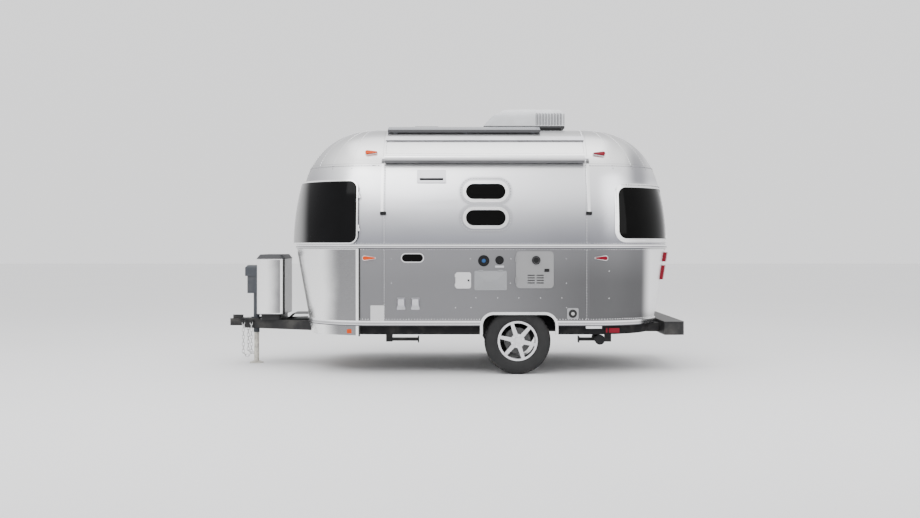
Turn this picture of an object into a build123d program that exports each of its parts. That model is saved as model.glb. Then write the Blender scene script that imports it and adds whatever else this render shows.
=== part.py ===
"""Single-axle riveted aluminium travel caravan, standing on its wheels and tongue jack.

Millimetres. +Z is up, the tongue points to -X, the street side faces -Y and the
entry door is on +Y. The origin is under the middle of the whole vehicle, on the ground.
"""

from build123d import *
import math
import os

# Body: belt level, plan and the curved wall above the belt
BELT_Z = 1322
FLOOR_Z = 500
NOSE_X = -1671
TAIL_X = 2371
HALF_WIDTH = 1220
CORNER_R = 900
END_LEAN = 165
FLOOR_CORNER_R = 760
WALL = 50
SIDE_R = 2535
SIDE_TURN = 16.5
SHOULDER_R = 744.5
FRONT_SEAM_X = -667
REAR_SEAM_X = 1424
FLOOR_T = 45
SEAT = 0.3

# End windows and the guards that stand over the front ones
END_GLASS_LOW = 1390
END_GLASS_HIGH = 1934
END_GLASS_EDGE = 624
END_GLASS_R = 88
END_GLASS_T = 8
CENTRE_GLASS_HALF = 340
CORNER_GLASS_Y = 440
FRAME_W = 36
FRAME_PROUD = 7
FRAME_LAP = 6
GUARD_LOW = 1338
GUARD_HIGH = 2005
GUARD_EDGE = 740
GUARD_CENTRE_HALF = 392
GUARD_GAP = 14
GUARD_R = 92
GUARD_STAND = 30
GUARD_T = 6
GUARD_HINGE_LOW = 1500
GUARD_HINGE_HIGH = 1840
GUARD_HINGE_IN = 50
GUARD_PIN_R = 4

# Street side windows: centre x, low z, high z
SLOT_WINDOWS = [
    (382, 1496, 1722),
    (382, 1768, 1994),
]
SLOT_LENGTH = 474
SLOT_FRAME_W = 30
CURB_WINDOW = (790, 1420, 1960)
CURB_LENGTH = 760
CURB_R = 90

# Entry door on the +Y side
DOOR_LOW_X = -450
DOOR_WIDTH = 680
DOOR_SILL_Z = 560
DOOR_TOP_Z = 2190
DOOR_R = 90
DOOR_GAP = 6
DOOR_HINGE_OUT = 20
DOOR_HINGES_Z = [720, 1180, 1640]
DOOR_GLASS_LOW = 1420
DOOR_GLASS_HIGH = 1960
DOOR_GLASS_LENGTH = 400
KNUCKLE_R = 8
KNUCKLE_H = 34
HINGE_LEAF = 60

# Rails round the body
BELT_RAIL_LOW = 1293
BELT_RAIL_HIGH = 1334
BELT_RAIL_PROUD = 12
RUB_RAIL_LOW = FLOOR_Z + SEAT
RUB_RAIL_HIGH = 553
RUB_RAIL_PROUD = 16
CORNER_GUARD_EDGE = 763
CORNER_GUARD_Y = 440
CORNER_GUARD_PROUD = 5
CORNER_GUARD_LOW = 392
SKIRT_Y = 520

# Wheels, arch and axle
AXLE_X = 710
TYRE_R = 342
TYRE_W = 205
TYRE_IN = 22
BEAD_R = 190
RIM_R = 205
RIM_W = 165
RIM_T = 7
FLANGE_T = 9
FACE_IN = 12
HUB_T = 36
SPOKES = 6
SPOKE_FIRST = 48
SPOKE_W = 34
SPOKE_T = 26
HUB_R = 72
CAP_R = 36
CAP_LENGTH = 34
DRUM_R = 135
DRUM_T = 62
SPINDLE_R = 20
SPINDLE_GAP = 0.5
ARCH_LOW_X = 350
ARCH_HIGH_X = 1094
ARCH_TOP_Z = 615
ARCH_R = 110
ARCH_TRIM_W = 28
ARCH_TRIM_PROUD = 24
ARCH_TRIM_LOW_Z = 412
WHEEL_BOX_DEPTH = 220
WHEEL_BOX_TOP = 760
WHEEL_BOX_T = 5
WELL_SKIN = 10
AXLE_TUBE = 76
AXLE_BACK = 150
ARM_W = 30
ARM_CLEAR = 8

# Chassis and tongue
RAIL_TOP = 500
RAIL_H = 100
RAIL_W = 50
RAIL_WALL = 6
RAIL_Y = 600
RAIL_REAR_X = 2180
TONGUE_JOIN_X = -1150
TONGUE_TIP_X = -2300
TONGUE_TIP_Y = 62
CROSS_XS = [-1100, -500, 100, 1250, 1800, 2130]
PAN_Z = 440
PAN_T = 6
STRIP_LOW = 410
STRIP_INSET = 40
COUPLER_TIP_X = -2477
COUPLER_W = 84
COUPLER_H = 78
BALL_X = -2432
BALL_R = 30
BALL_DEPTH = 44

# Jack on the tongue
JACK_X = -2179
JACK_TUBE_R = 28
JACK_SLEEVE_R = 34
JACK_CLEAR = 0.6
JACK_TUBE_TOP = 455
JACK_SLEEVE_LOW = 345
JACK_HEAD_LOW = 785
JACK_HEAD_TOP = 1100
JACK_FOOT_R = 79
JACK_FOOT_T = 23

# Safety chains: one loop hangs beside each tongue rail
LINK_LENGTH = 52
LINK_W = 32
LINK_WIRE = 6
LINK_CUT = 9
STRAND_LINKS = 9
STRAND_HALF = 19.85
BEND_LINKS = 3
BEND_HALF = 18.5
CHAIN_Y = 151
CHAIN_X = -2256
LUG_Z = 473
LUG_R = 6
LUG_PLAY = 0.3

# Gas bottle cover
GAS_FRONT_X = -2127
GAS_DEPTH = 308
GAS_WIDTH = 660
GAS_LOW = 568
GAS_HIGH = 1173
GAS_TOP = 1222
GAS_R = 60
GAS_SHEET = 4
TRAY_T = 6

# Rear bumper
BUMPER_FRONT_X = 2262
BUMPER_REAR_X = 2477
BUMPER_LOW = 385
BUMPER_H = 140
BUMPER_HALF = 930

# Stabiliser legs: name, pivot x, direction of the folded leg
STABILISERS = [
    ("front_left", -640, 1, -1),
    ("front_right", -640, 1, 1),
    ("rear_left", 1700, -1, -1),
    ("rear_right", 1700, -1, 1),
]
LEG_LENGTH = 308
LEG_W = 46
LEG_T = 34
LEG_PIVOT_Z = 320
LEG_PIN_R = 8
LEG_Y = 660
CHEEK_T = 6
CHEEK_GAP = 2

# Doors and hatches in the lower street wall: low x, low z, length, height, corner radius
HEATER = (691, 887, 385, 379, 42)
CORD = (264, 866, 333, 200, 16)
SMALL = (70, 884, 160, 166, 22)
HATCH_T = 12
CORD_T = 8
CORD_PYRAMID = 14
SMALL_T = 10
LOUVRE_COLUMNS = 2
LOUVRE_ROWS = 4
LOUVRE_IN_X = 116
LOUVRE_IN_Z = 48
LOUVRE_LENGTH = 76
LOUVRE_H = 12
LOUVRE_PITCH_X = 92
LOUVRE_PITCH_Z = 26
FLUE_IN_X = 205
FLUE_IN_Z = 287
FLUE_R = 44
FLUE_BORE = 31
POCKET_DEPTH = 34
POCKET_RIM = 18
HATCH_HINGE_OUT = 16
HATCH_HINGE_SIDE = 2

# Marker lamps: centre x and height of the round end
MARKER_LAMPS = [
    (-853, 2300),
    (-859, 1195),
    (1613, 2286),
    (1609, 1195),
]
LAMP_R = 27
LAMP_TIP = 112

# Roof
AC_LOW_X = 376
AC_HIGH_X = 1268
AC_HALF = 330
AC_STAND = 37
AC_H = 218
AC_FOOT_IN = 40
AC_R = 90
AC_GRILLE_X = 946
AC_SLOTS = 9
VENT_X = -255
VENT_SIZE = 330
VENT_BASE_H = 28
VENT_H = 80
VENT_RIM = 20
VENT_LID_OVER = 8
VENT_LID_EDGE = 12
SOLAR_LOW_X = -655
SOLAR_LENGTH = 1630
SOLAR_IN = 370
SOLAR_OUT = 700
SOLAR_STAND = 16
SOLAR_T = 26
SOLAR_FOOT = 40
GUTTER_DROP = 141
GUTTER_H = 46
GUTTER_PROUD = 14

# Awnings: side, tube height
AWNINGS = [
    (-1, 2226),
    (1, 2330),
]
AWNING_R = 48.5
AWNING_STAND = 72
AWNING_LOW_X = -661
AWNING_HIGH_X = 1403
AWNING_ARM_LOW = 1642
AWNING_ARM_W = 28
AWNING_ARM_T = 22

MID_X = (NOSE_X + TAIL_X) / 2
TURN = math.radians(SIDE_TURN)
SHOULDER_U = SIDE_R - (SIDE_R - SHOULDER_R) * math.cos(TURN)
SHOULDER_Z = BELT_Z + (SIDE_R - SHOULDER_R) * math.sin(TURN)
ROOF_Z = SHOULDER_Z + SHOULDER_R
FLAT_HALF = HALF_WIDTH - CORNER_R
FRONT_AXIS_X = NOSE_X + CORNER_R
REAR_AXIS_X = TAIL_X - CORNER_R
RAIL_LOW = RAIL_TOP - RAIL_H
WHEEL_Y = HALF_WIDTH - TYRE_IN - TYRE_W / 2
WELL_LOW_X = ARCH_LOW_X - 20
WELL_HIGH_X = ARCH_HIGH_X + 16
WELL_BACK_Y = WALL - HALF_WIDTH + WHEEL_BOX_DEPTH
CHAIN_HALF = BEND_HALF * (1 + 2 * math.cos(math.radians(180 / (BEND_LINKS + 1))))
AC_BASE_Z = ROOF_Z + AC_STAND
AC_TOP_Z = AC_BASE_Z + AC_H
GUARD_TOP_HINGES = (GUARD_HINGE_IN - FLAT_HALF, 0, FLAT_HALF - GUARD_HINGE_IN - KNUCKLE_H)
REACH = TAIL_X - NOSE_X

nodes = {}


def box(x0, x1, y0, y1, z0, z1):
    """A block between two opposite corners, given in either order."""
    size = (abs(x1 - x0), abs(y1 - y0), abs(z1 - z0))
    return Pos((x0 + x1) / 2, (y0 + y1) / 2, (z0 + z1) / 2) * Box(*size)


def rod_y(x, z, y0, y1, radius):
    return Pos(x, (y0 + y1) / 2, z) * Rot(90, 0, 0) * Cylinder(radius, abs(y1 - y0))


def rod_z(x, y, z0, z1, radius):
    return Pos(x, y, (z0 + z1) / 2) * Cylinder(radius, z1 - z0)


def other_side(shape):
    return mirror(shape, about=Plane.XZ)


def other_end(shape):
    return mirror(shape, about=Plane(origin=(MID_X, 0, 0), z_dir=(1, 0, 0)))


def outline_y(x0, x1, z0, z1, radius, y0, y1):
    """A rounded rectangle in side view, as a block from y0 to y1."""
    face = Plane(origin=((x0 + x1) / 2, y1, (z0 + z1) / 2), x_dir=(1, 0, 0), z_dir=(0, -1, 0))
    return extrude(face * RectangleRounded(x1 - x0, z1 - z0, radius), y1 - y0)


def outline_x(y0, y1, z0, z1, radius, x0, x1):
    """A rounded rectangle in end view, as a block from x0 to x1."""
    face = Plane(origin=(x0, (y0 + y1) / 2, (z0 + z1) / 2), x_dir=(0, 1, 0), z_dir=(1, 0, 0))
    return extrude(face * RectangleRounded(y1 - y0, z1 - z0, radius), x1 - x0)


def inset_at(z, inset=0):
    """How far in from the widest plan the wall is, at height z above the belt."""
    rise = z - BELT_Z
    if rise <= (SIDE_R - inset) * math.sin(TURN):
        return SIDE_R - math.sqrt((SIDE_R - inset) ** 2 - rise ** 2)
    return SHOULDER_U - math.sqrt((SHOULDER_R - inset) ** 2 - (z - SHOULDER_Z) ** 2)


def wall_section(outer, inner, reach):
    """Wall between two insets, from the belt to the roof, against inset and height."""
    edges = []
    ends = []
    for inset in (outer, inner):
        side = CenterArc((SIDE_R, BELT_Z), SIDE_R - inset, 180, -SIDE_TURN)
        shoulder = CenterArc(
            (SHOULDER_U, SHOULDER_Z), SHOULDER_R - inset, 180 - SIDE_TURN, SIDE_TURN - 90
        )
        roof = Line(shoulder @ 1, (reach, ROOF_Z - inset))
        edges += [side, shoulder, roof]
        ends.append((side @ 0, roof @ 1))
    edges.append(Line(ends[0][0], ends[1][0]))
    edges.append(Line(ends[0][1], ends[1][1]))
    return make_face(edges)


def left_quarter(outer, inner, low_x, high_x, reach=CORNER_R):
    """Upper wall of the -Y side between two x, straight part only."""
    plane = Plane(origin=(low_x, -HALF_WIDTH, 0), x_dir=(0, 1, 0), z_dir=(1, 0, 0))
    return extrude(plane * wall_section(outer, inner, reach), high_x - low_x)


def front_left_corner(outer, inner):
    """Upper wall of the front corner on the -Y side."""
    plane = Plane(origin=(FRONT_AXIS_X, -HALF_WIDTH, 0), x_dir=(0, 1, 0), z_dir=(1, 0, 0))
    section = plane * wall_section(outer, inner, CORNER_R)
    axis = Axis((FRONT_AXIS_X, -FLAT_HALF, 0), (0, 0, -1))
    return revolve(section, axis, 90)


def front_middle(outer, inner):
    """Upper wall of the front end between its two corners."""
    plane = Plane(origin=(NOSE_X, FLAT_HALF, 0), x_dir=(1, 0, 0), z_dir=(0, -1, 0))
    return extrude(plane * wall_section(outer, inner, CORNER_R), 2 * FLAT_HALF)


def arch(outer, inner, low_x, high_x):
    """Both upper walls and the roof between two x."""
    half = left_quarter(outer, inner, low_x, high_x, HALF_WIDTH)
    return half + other_side(half)


def cap(seam_depth):
    """Front end above the belt, back to a seam that lies this far behind the nose."""
    corner = front_left_corner(0, WALL)
    strip = arch(0, WALL, FRONT_AXIS_X, NOSE_X + seam_depth)
    return front_middle(0, WALL) + corner + other_side(corner) + strip


def plan(z, inset):
    """The lower body's outline at height z."""
    share = (BELT_Z - z) / (BELT_Z - FLOOR_Z)
    lean = END_LEAN * share + inset
    radius = CORNER_R + (FLOOR_CORNER_R - CORNER_R) * share - inset
    size = (TAIL_X - NOSE_X - 2 * lean, 2 * (HALF_WIDTH - inset))
    return Pos(MID_X, 0, z) * RectangleRounded(*size, radius)


def lower_block(low, high, inset):
    return loft([plan(low, inset), plan(high, inset)], ruled=True)


def lower_ring(low, high, outer, inner):
    return lower_block(low, high, outer) - lower_block(low, high, inner)


def belt_ring(low, high, outer, inner):
    ring = plan(BELT_Z, outer) - plan(BELT_Z, inner)
    return Pos(0, 0, low - BELT_Z) * extrude(ring, high - low)


def side_layer(outer, inner, low_x, high_x):
    """A thin layer along the upper -Y wall, used for what sits on the skin."""
    return left_quarter(outer, inner, low_x, high_x)


def corner_glass_block(grow, edge, low_y):
    """Side and end outlines of a corner window, met as one block."""
    z0 = END_GLASS_LOW - grow
    z1 = END_GLASS_HIGH + grow
    radius = END_GLASS_R + grow
    side = outline_y(NOSE_X - REACH, NOSE_X + edge + grow, z0, z1, radius, -REACH, 0)
    end = outline_x(-REACH, -low_y + grow, z0, z1, radius, -REACH, MID_X)
    return side & end


def centre_glass_block(grow):
    z0 = END_GLASS_LOW - grow
    z1 = END_GLASS_HIGH + grow
    half = CENTRE_GLASS_HALF + grow
    return outline_x(-half, half, z0, z1, END_GLASS_R + grow, -REACH, MID_X)


def corner_glass_cut(grow):
    return corner_glass_block(grow, END_GLASS_EDGE, CORNER_GLASS_Y)


def slot_block(index, grow, y0=-REACH, y1=0):
    x, low, high = SLOT_WINDOWS[index]
    half = SLOT_LENGTH / 2 - SLOT_FRAME_W + grow
    low += SLOT_FRAME_W - grow
    high -= SLOT_FRAME_W - grow
    radius = (high - low) / 2 - 1
    return outline_y(x - half, x + half, low, high, radius, y0, y1)


def curb_block(grow):
    x, low, high = CURB_WINDOW
    half = CURB_LENGTH / 2 + grow
    return outline_y(x - half, x + half, low - grow, high + grow, CURB_R + grow, 0, REACH)


def door_axis_point():
    return DOOR_LOW_X, HALF_WIDTH + DOOR_HINGE_OUT


def door_block(grow):
    """The door's outline with its swinging edge rounded about the hinge line."""
    hinge_x, hinge_y = door_axis_point()
    x0 = DOOR_LOW_X - grow
    x1 = DOOR_LOW_X + DOOR_WIDTH + 60
    flat = outline_y(
        x0, x1, DOOR_SILL_Z - grow, DOOR_TOP_Z + grow, DOOR_R + grow, HALF_WIDTH / 2, REACH
    )
    swing = rod_z(hinge_x, hinge_y, 0, REACH, DOOR_WIDTH + grow)
    return flat & swing


def arch_block(grow, y0, y1, low=0):
    x0 = ARCH_LOW_X - grow
    x1 = ARCH_HIGH_X + grow
    return outline_y(x0, x1, low - 400, ARCH_TOP_Z + grow, ARCH_R + grow, y0, y1) & box(
        x0, x1, y0, y1, low, REACH
    )


def hatch_pocket(hatch):
    x, z, length, height, radius = hatch
    rim = POCKET_RIM
    return outline_y(
        x + rim, x + length - rim, z + rim, z + height - rim, max(radius - rim, 8),
        -HALF_WIDTH - 1, -HALF_WIDTH + POCKET_DEPTH
    )


# Body walls
well = box(WELL_LOW_X, WELL_HIGH_X, WELL_SKIN - HALF_WIDTH, WELL_BACK_Y, 0, WHEEL_BOX_TOP)
lower_wall = lower_ring(FLOOR_Z, BELT_Z, 0, WALL)
nodes["nose_lower"] = lower_wall & box(-REACH, FRONT_SEAM_X, -REACH, REACH, 0, REACH)
nodes["tail_lower"] = lower_wall & box(REAR_SEAM_X, REACH, -REACH, REACH, 0, REACH)
side_wall = box(FRONT_SEAM_X, REAR_SEAM_X, -HALF_WIDTH, WALL - HALF_WIDTH, FLOOR_Z, BELT_Z)
side_wall -= arch_block(0, -REACH, REACH)
side_wall -= well
side_left = side_wall
for hatch in (HEATER, CORD, SMALL):
    side_left -= hatch_pocket(hatch)
nodes["side_lower_left"] = side_left
nodes["side_lower_right"] = other_side(side_wall) - door_block(DOOR_GAP)

end_cuts = [corner_glass_cut(0), other_side(corner_glass_cut(0)), centre_glass_block(0)]
front_cap = cap(FRONT_SEAM_X - NOSE_X)
rear_cap = cap(TAIL_X - REAR_SEAM_X)
for cut in end_cuts:
    front_cap -= cut
    rear_cap -= cut
nodes["front_cap"] = front_cap
nodes["rear_cap"] = other_end(rear_cap)

mid = arch(0, WALL, FRONT_SEAM_X, REAR_SEAM_X) - door_block(DOOR_GAP) - curb_block(0)
for index in range(len(SLOT_WINDOWS)):
    mid -= slot_block(index, 0)
nodes["upper_mid"] = mid

# Floor, wheel boxes and belly pan
well_inner = box(WELL_LOW_X + WHEEL_BOX_T, WELL_HIGH_X - WHEEL_BOX_T, -HALF_WIDTH,
                 WELL_BACK_Y - WHEEL_BOX_T, 0, WHEEL_BOX_TOP - WHEEL_BOX_T)
wheel_box = (well - well_inner) & box(-REACH, REACH, -REACH, REACH, PAN_Z, REACH)
nodes["wheel_boxes"] = Compound([wheel_box, other_side(wheel_box)])

deck = lower_block(FLOOR_Z, FLOOR_Z + FLOOR_T, WALL + SEAT)
nodes["floor_deck"] = deck - well - other_side(well)


def main_rail():
    outer = box(TONGUE_JOIN_X, RAIL_REAR_X, -RAIL_Y - RAIL_W / 2, -RAIL_Y + RAIL_W / 2, RAIL_LOW, RAIL_TOP)
    channel = box(
        TONGUE_JOIN_X, RAIL_REAR_X, -RAIL_Y - RAIL_W / 2 + RAIL_WALL, REACH,
        RAIL_LOW + RAIL_WALL, RAIL_TOP - RAIL_WALL
    )
    return outer - channel


def tongue_rail():
    """Box rail that runs in from a main rail to the coupler."""
    dx = TONGUE_JOIN_X - TONGUE_TIP_X
    dy = RAIL_Y - TONGUE_TIP_Y
    length = math.hypot(dx, dy) + 4 * RAIL_W
    angle = math.degrees(math.atan2(-dy, dx))
    place = Pos((TONGUE_JOIN_X + TONGUE_TIP_X) / 2, -(RAIL_Y + TONGUE_TIP_Y) / 2, (RAIL_TOP + RAIL_LOW) / 2)
    outer = place * Rot(0, 0, angle) * Box(length, RAIL_W, RAIL_H)
    hollow = place * Rot(0, 0, angle) * Box(length, RAIL_W - 2 * RAIL_WALL, RAIL_H - 2 * RAIL_WALL)
    room = box(TONGUE_TIP_X, TONGUE_JOIN_X, -REACH, -TONGUE_TIP_Y / 4, 0, REACH)
    return (outer - hollow) & room


rail = main_rail()
ladder = rail + other_side(rail)
for x in CROSS_XS:
    reach_y = RAIL_Y - RAIL_W / 2 + RAIL_WALL
    ladder += box(x, x + RAIL_W, -reach_y, reach_y, RAIL_LOW + RAIL_WALL, RAIL_TOP - RAIL_WALL)
nodes["main_rails"] = ladder
tongue = tongue_rail()
for x in (CHAIN_X - CHAIN_HALF, CHAIN_X + CHAIN_HALF):
    lug_y = -TONGUE_TIP_Y - (x - TONGUE_TIP_X) * (RAIL_Y - TONGUE_TIP_Y) / (TONGUE_JOIN_X - TONGUE_TIP_X)
    tongue += rod_y(x, LUG_Z, -CHAIN_Y - 12, lug_y - RAIL_W / 2, LUG_R)
    tongue += rod_y(x, LUG_Z, -CHAIN_Y - 12, -CHAIN_Y - 9, LINK_W / 2)
nodes["tongue_rails"] = Compound([tongue, other_side(tongue)])

strip = lower_ring(STRIP_LOW, RAIL_TOP, STRIP_INSET, STRIP_INSET + PAN_T)
pan = lower_block(PAN_Z, PAN_Z + PAN_T, STRIP_INSET + PAN_T / 2)
for side in (-1, 1):
    y = side * RAIL_Y
    pan -= box(TONGUE_JOIN_X, RAIL_REAR_X, y - RAIL_W / 2, y + RAIL_W / 2, 0, RAIL_TOP)
pan -= box(-REACH, TONGUE_JOIN_X, -RAIL_Y - RAIL_W, RAIL_Y + RAIL_W, 0, RAIL_TOP)
for x in CROSS_XS:
    pan -= box(x, x + RAIL_W, -RAIL_Y, RAIL_Y, 0, RAIL_TOP)
pan += strip
pan -= box(-REACH, TONGUE_JOIN_X, -RAIL_Y - RAIL_W, RAIL_Y + RAIL_W, 0, RAIL_TOP)
pan -= box(RAIL_REAR_X - 100, REACH, -RAIL_Y - RAIL_W, RAIL_Y + RAIL_W, 0, RAIL_TOP)
arch_room = arch_block(ARCH_TRIM_W, -REACH, WELL_BACK_Y)
for room in (well, arch_room):
    pan -= room
    pan -= other_side(room)
nodes["belly_pan"] = pan

# Rails and trims on the skin
door_room = box(DOOR_LOW_X - DOOR_GAP, DOOR_LOW_X + DOOR_WIDTH + DOOR_GAP, 0, REACH, DOOR_SILL_Z, REACH)
nodes["belt_rail"] = belt_ring(BELT_RAIL_LOW, BELT_RAIL_HIGH, -BELT_RAIL_PROUD, -SEAT) - door_room
rub = lower_ring(RUB_RAIL_LOW, RUB_RAIL_HIGH, -RUB_RAIL_PROUD, -SEAT)
for room in (arch_room, other_side(arch_room)):
    rub -= room
nodes["rub_rail"] = rub

trim_y = -HALF_WIDTH - ARCH_TRIM_PROUD
trim = arch_block(ARCH_TRIM_W, trim_y, -HALF_WIDTH - SEAT, ARCH_TRIM_LOW_Z)
trim -= arch_block(0, -REACH, REACH)
nodes["arch_trims"] = Compound([trim, other_side(trim)])


def corner_guard():
    """Bright guard over a lower front corner, with its skirt under the rub rail."""
    room = box(-REACH, NOSE_X + CORNER_GUARD_EDGE, -REACH, -CORNER_GUARD_Y, 0, REACH)
    face = lower_ring(RUB_RAIL_HIGH, BELT_RAIL_LOW, -CORNER_GUARD_PROUD, -SEAT) & room
    skirt_room = box(-REACH, NOSE_X + CORNER_GUARD_EDGE, -REACH, -SKIRT_Y, 0, REACH)
    skirt = lower_ring(CORNER_GUARD_LOW, FLOOR_Z, -CORNER_GUARD_PROUD, 0) & skirt_room
    return [face, skirt]


guard_pieces = corner_guard()
nodes["lower_guards"] = Compound(guard_pieces + [other_side(piece) for piece in guard_pieces])

# End windows
END_GLASS_IN = 2
corner_layer = front_left_corner(END_GLASS_IN, END_GLASS_IN + END_GLASS_T)
end_layer = front_middle(END_GLASS_IN, END_GLASS_IN + END_GLASS_T) + corner_layer + other_side(corner_layer)
corner_glass = end_layer & corner_glass_cut(0)
centre_glass = end_layer & centre_glass_block(0)
front_glass = [corner_glass, other_side(corner_glass), centre_glass]
nodes["end_glass"] = Compound(front_glass + [other_end(piece) for piece in front_glass])

frame_corner = front_left_corner(-FRAME_PROUD, 0)
frame_layer = front_middle(-FRAME_PROUD, 0) + frame_corner + other_side(frame_corner)
corner_frame = (frame_layer & corner_glass_cut(FRAME_W)) - corner_glass_cut(-FRAME_LAP)
centre_frame = (frame_layer & centre_glass_block(FRAME_W - 2)) - centre_glass_block(-FRAME_LAP)
front_frames = [corner_frame, other_side(corner_frame), centre_frame]
side_skin = side_layer(-FRAME_PROUD, 0, FRONT_SEAM_X, REAR_SEAM_X)
slot_frames = []
slot_panes = []
pane_skin = side_layer(2, 8, FRONT_SEAM_X, REAR_SEAM_X)
for index in range(len(SLOT_WINDOWS)):
    slot_frames.append((side_skin & slot_block(index, SLOT_FRAME_W)) - slot_block(index, -3))
    slot_panes.append(pane_skin & slot_block(index, 0))
curb_frame = (other_side(side_skin) & curb_block(SLOT_FRAME_W)) - curb_block(-3)
curb_pane = other_side(pane_skin) & curb_block(0)
nodes["window_frames"] = Compound(
    front_frames + [other_end(piece) for piece in front_frames] + slot_frames + [curb_frame]
)
nodes["side_glass"] = Compound(slot_panes + [curb_pane])


# Guards over the front windows
def guard_corner_piece(outer, inner, grow):
    layer = front_left_corner(-outer, -inner) + front_middle(-outer, -inner)
    x1 = NOSE_X + GUARD_EDGE + grow
    z0 = GUARD_LOW - grow
    z1 = GUARD_HIGH + grow
    side = outline_y(-REACH, x1, z0, z1, GUARD_R + grow, -REACH, 0)
    low_y = GUARD_CENTRE_HALF + GUARD_GAP - grow
    end = outline_x(-REACH, -low_y, z0, z1, GUARD_R / 2 + grow, -REACH, MID_X)
    return layer & side & end


def guard_centre_piece(outer, inner, grow):
    corner = front_left_corner(-outer, -inner)
    layer = front_middle(-outer, -inner) + corner + other_side(corner)
    half = GUARD_CENTRE_HALF + grow
    z0 = GUARD_LOW - grow
    z1 = GUARD_HIGH + grow
    return layer & outline_x(-half, half, z0, z1, GUARD_R / 2 + grow, -REACH, MID_X)


def guard_hinge_point(z):
    """Where a side guard's hinge line passes, at height z, on the -Y side."""
    radius = CORNER_R - inset_at(z, -GUARD_STAND - GUARD_T / 2)
    across = CORNER_R - GUARD_EDGE - KNUCKLE_R
    return FRONT_AXIS_X - across, -FLAT_HALF - math.sqrt(radius ** 2 - across ** 2)


side_guard = guard_corner_piece(GUARD_STAND + GUARD_T, GUARD_STAND, 0)
centre_guard = guard_centre_piece(GUARD_STAND + GUARD_T, GUARD_STAND, 0)


def guard_line(z):
    x, y = guard_hinge_point(z)
    return Vector(x, y, z)


def knuckle(place, low, high, radius, bore=0):
    """A hinge barrel along a plane's own z, bored for a pin where a bore is given."""
    barrel = place * Pos(0, 0, (low + high) / 2) * Cylinder(radius, high - low)
    if bore:
        barrel -= place * Pos(0, 0, (low + high) / 2) * Cylinder(bore, high - low + 2)
    return barrel


# The side guards turn about a leaning line, the centre guard about a level one
side_line = guard_line(GUARD_HINGE_HIGH) - guard_line(GUARD_HINGE_LOW)
guard_skin = front_left_corner(-GUARD_STAND - GUARD_T, -GUARD_STAND)
guard_space = front_left_corner(-GUARD_STAND - GUARD_T, -SEAT)
hinge_blocks = []
for z in (GUARD_HINGE_LOW, GUARD_HINGE_HIGH):
    point = guard_line(z)
    place = Plane(origin=point, x_dir=(1, 0, 0), z_dir=side_line)
    ear = guard_skin & box(point.X - 2 * KNUCKLE_R, point.X, -REACH, 0, z + 2, z + KNUCKLE_H - 2)
    side_guard += ear + knuckle(place, 1, KNUCKLE_H, KNUCKLE_R)
    side_guard -= knuckle(place, 0, KNUCKLE_H + 2, GUARD_PIN_R + SPINDLE_GAP)
    stand = guard_space & box(point.X - 6, point.X + 16, -REACH, 0, z - 26, z - 2)
    stand += knuckle(place, -25, 0, KNUCKLE_R) + knuckle(place, -4, KNUCKLE_H - 2, GUARD_PIN_R)
    hinge_blocks += [stand, other_side(stand)]
top_z = GUARD_HIGH + KNUCKLE_R
top_stand = GUARD_STAND + GUARD_T / 2
top_x = NOSE_X + inset_at(top_z, -top_stand)
middle_skin = front_middle(-GUARD_STAND - GUARD_T, -GUARD_STAND)
middle_space = front_middle(-GUARD_STAND - GUARD_T, -SEAT)
for y in GUARD_TOP_HINGES:
    place = Plane(origin=(top_x, y, top_z), x_dir=(1, 0, 0), z_dir=(0, 1, 0))
    ear = middle_skin & box(-REACH, MID_X, y + 2, y + KNUCKLE_H - 2, GUARD_HIGH - 4, top_z)
    centre_guard += ear + knuckle(place, 1, KNUCKLE_H, KNUCKLE_R)
    centre_guard -= knuckle(place, 0, KNUCKLE_H + 2, GUARD_PIN_R + SPINDLE_GAP)
    stand = middle_space & box(-REACH, MID_X, y - 26, y - 2, top_z - 4, top_z + 16)
    stand += knuckle(place, -25, 0, KNUCKLE_R) + knuckle(place, -4, KNUCKLE_H - 2, GUARD_PIN_R)
    hinge_blocks.append(stand)
nodes["stone_guard_left"] = side_guard
nodes["stone_guard_right"] = other_side(side_guard)
nodes["stone_guard_centre"] = centre_guard
nodes["guard_brackets"] = Compound(hinge_blocks)


# Entry door
def door_leaf():
    shell = other_side(left_quarter(0, WALL, FRONT_SEAM_X, REAR_SEAM_X))
    lower = box(FRONT_SEAM_X, REAR_SEAM_X, HALF_WIDTH - WALL, HALF_WIDTH, FLOOR_Z, BELT_Z)
    leaf = (shell + lower) & door_block(0)
    return leaf - door_glass_block(0)


def door_glass_block(grow):
    centre = DOOR_LOW_X + DOOR_WIDTH / 2
    half = DOOR_GLASS_LENGTH / 2 + grow
    return outline_y(
        centre - half, centre + half, DOOR_GLASS_LOW - grow, DOOR_GLASS_HIGH + grow, CURB_R + grow, 0, REACH
    )


hinge_x, hinge_y = door_axis_point()
door = door_leaf() & box(DOOR_LOW_X + DOOR_GAP, REACH, -REACH, REACH, 0, REACH)
door_band = box(DOOR_LOW_X + 2 * DOOR_GAP, DOOR_LOW_X + DOOR_WIDTH - 2 * DOOR_GAP, HALF_WIDTH,
                HALF_WIDTH + BELT_RAIL_PROUD, BELT_RAIL_LOW, BELT_Z)
door += door_band


def door_skin(outer, inner):
    """A layer on the +Y skin beside the door's hinge line."""
    low_x = DOOR_LOW_X - 2 * HINGE_LEAF
    high_x = DOOR_LOW_X + 2 * HINGE_LEAF
    lower = box(low_x, high_x, HALF_WIDTH - inner, HALF_WIDTH - outer, FLOOR_Z, BELT_Z)
    return other_side(left_quarter(outer, inner, low_x, high_x)) + lower


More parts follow.
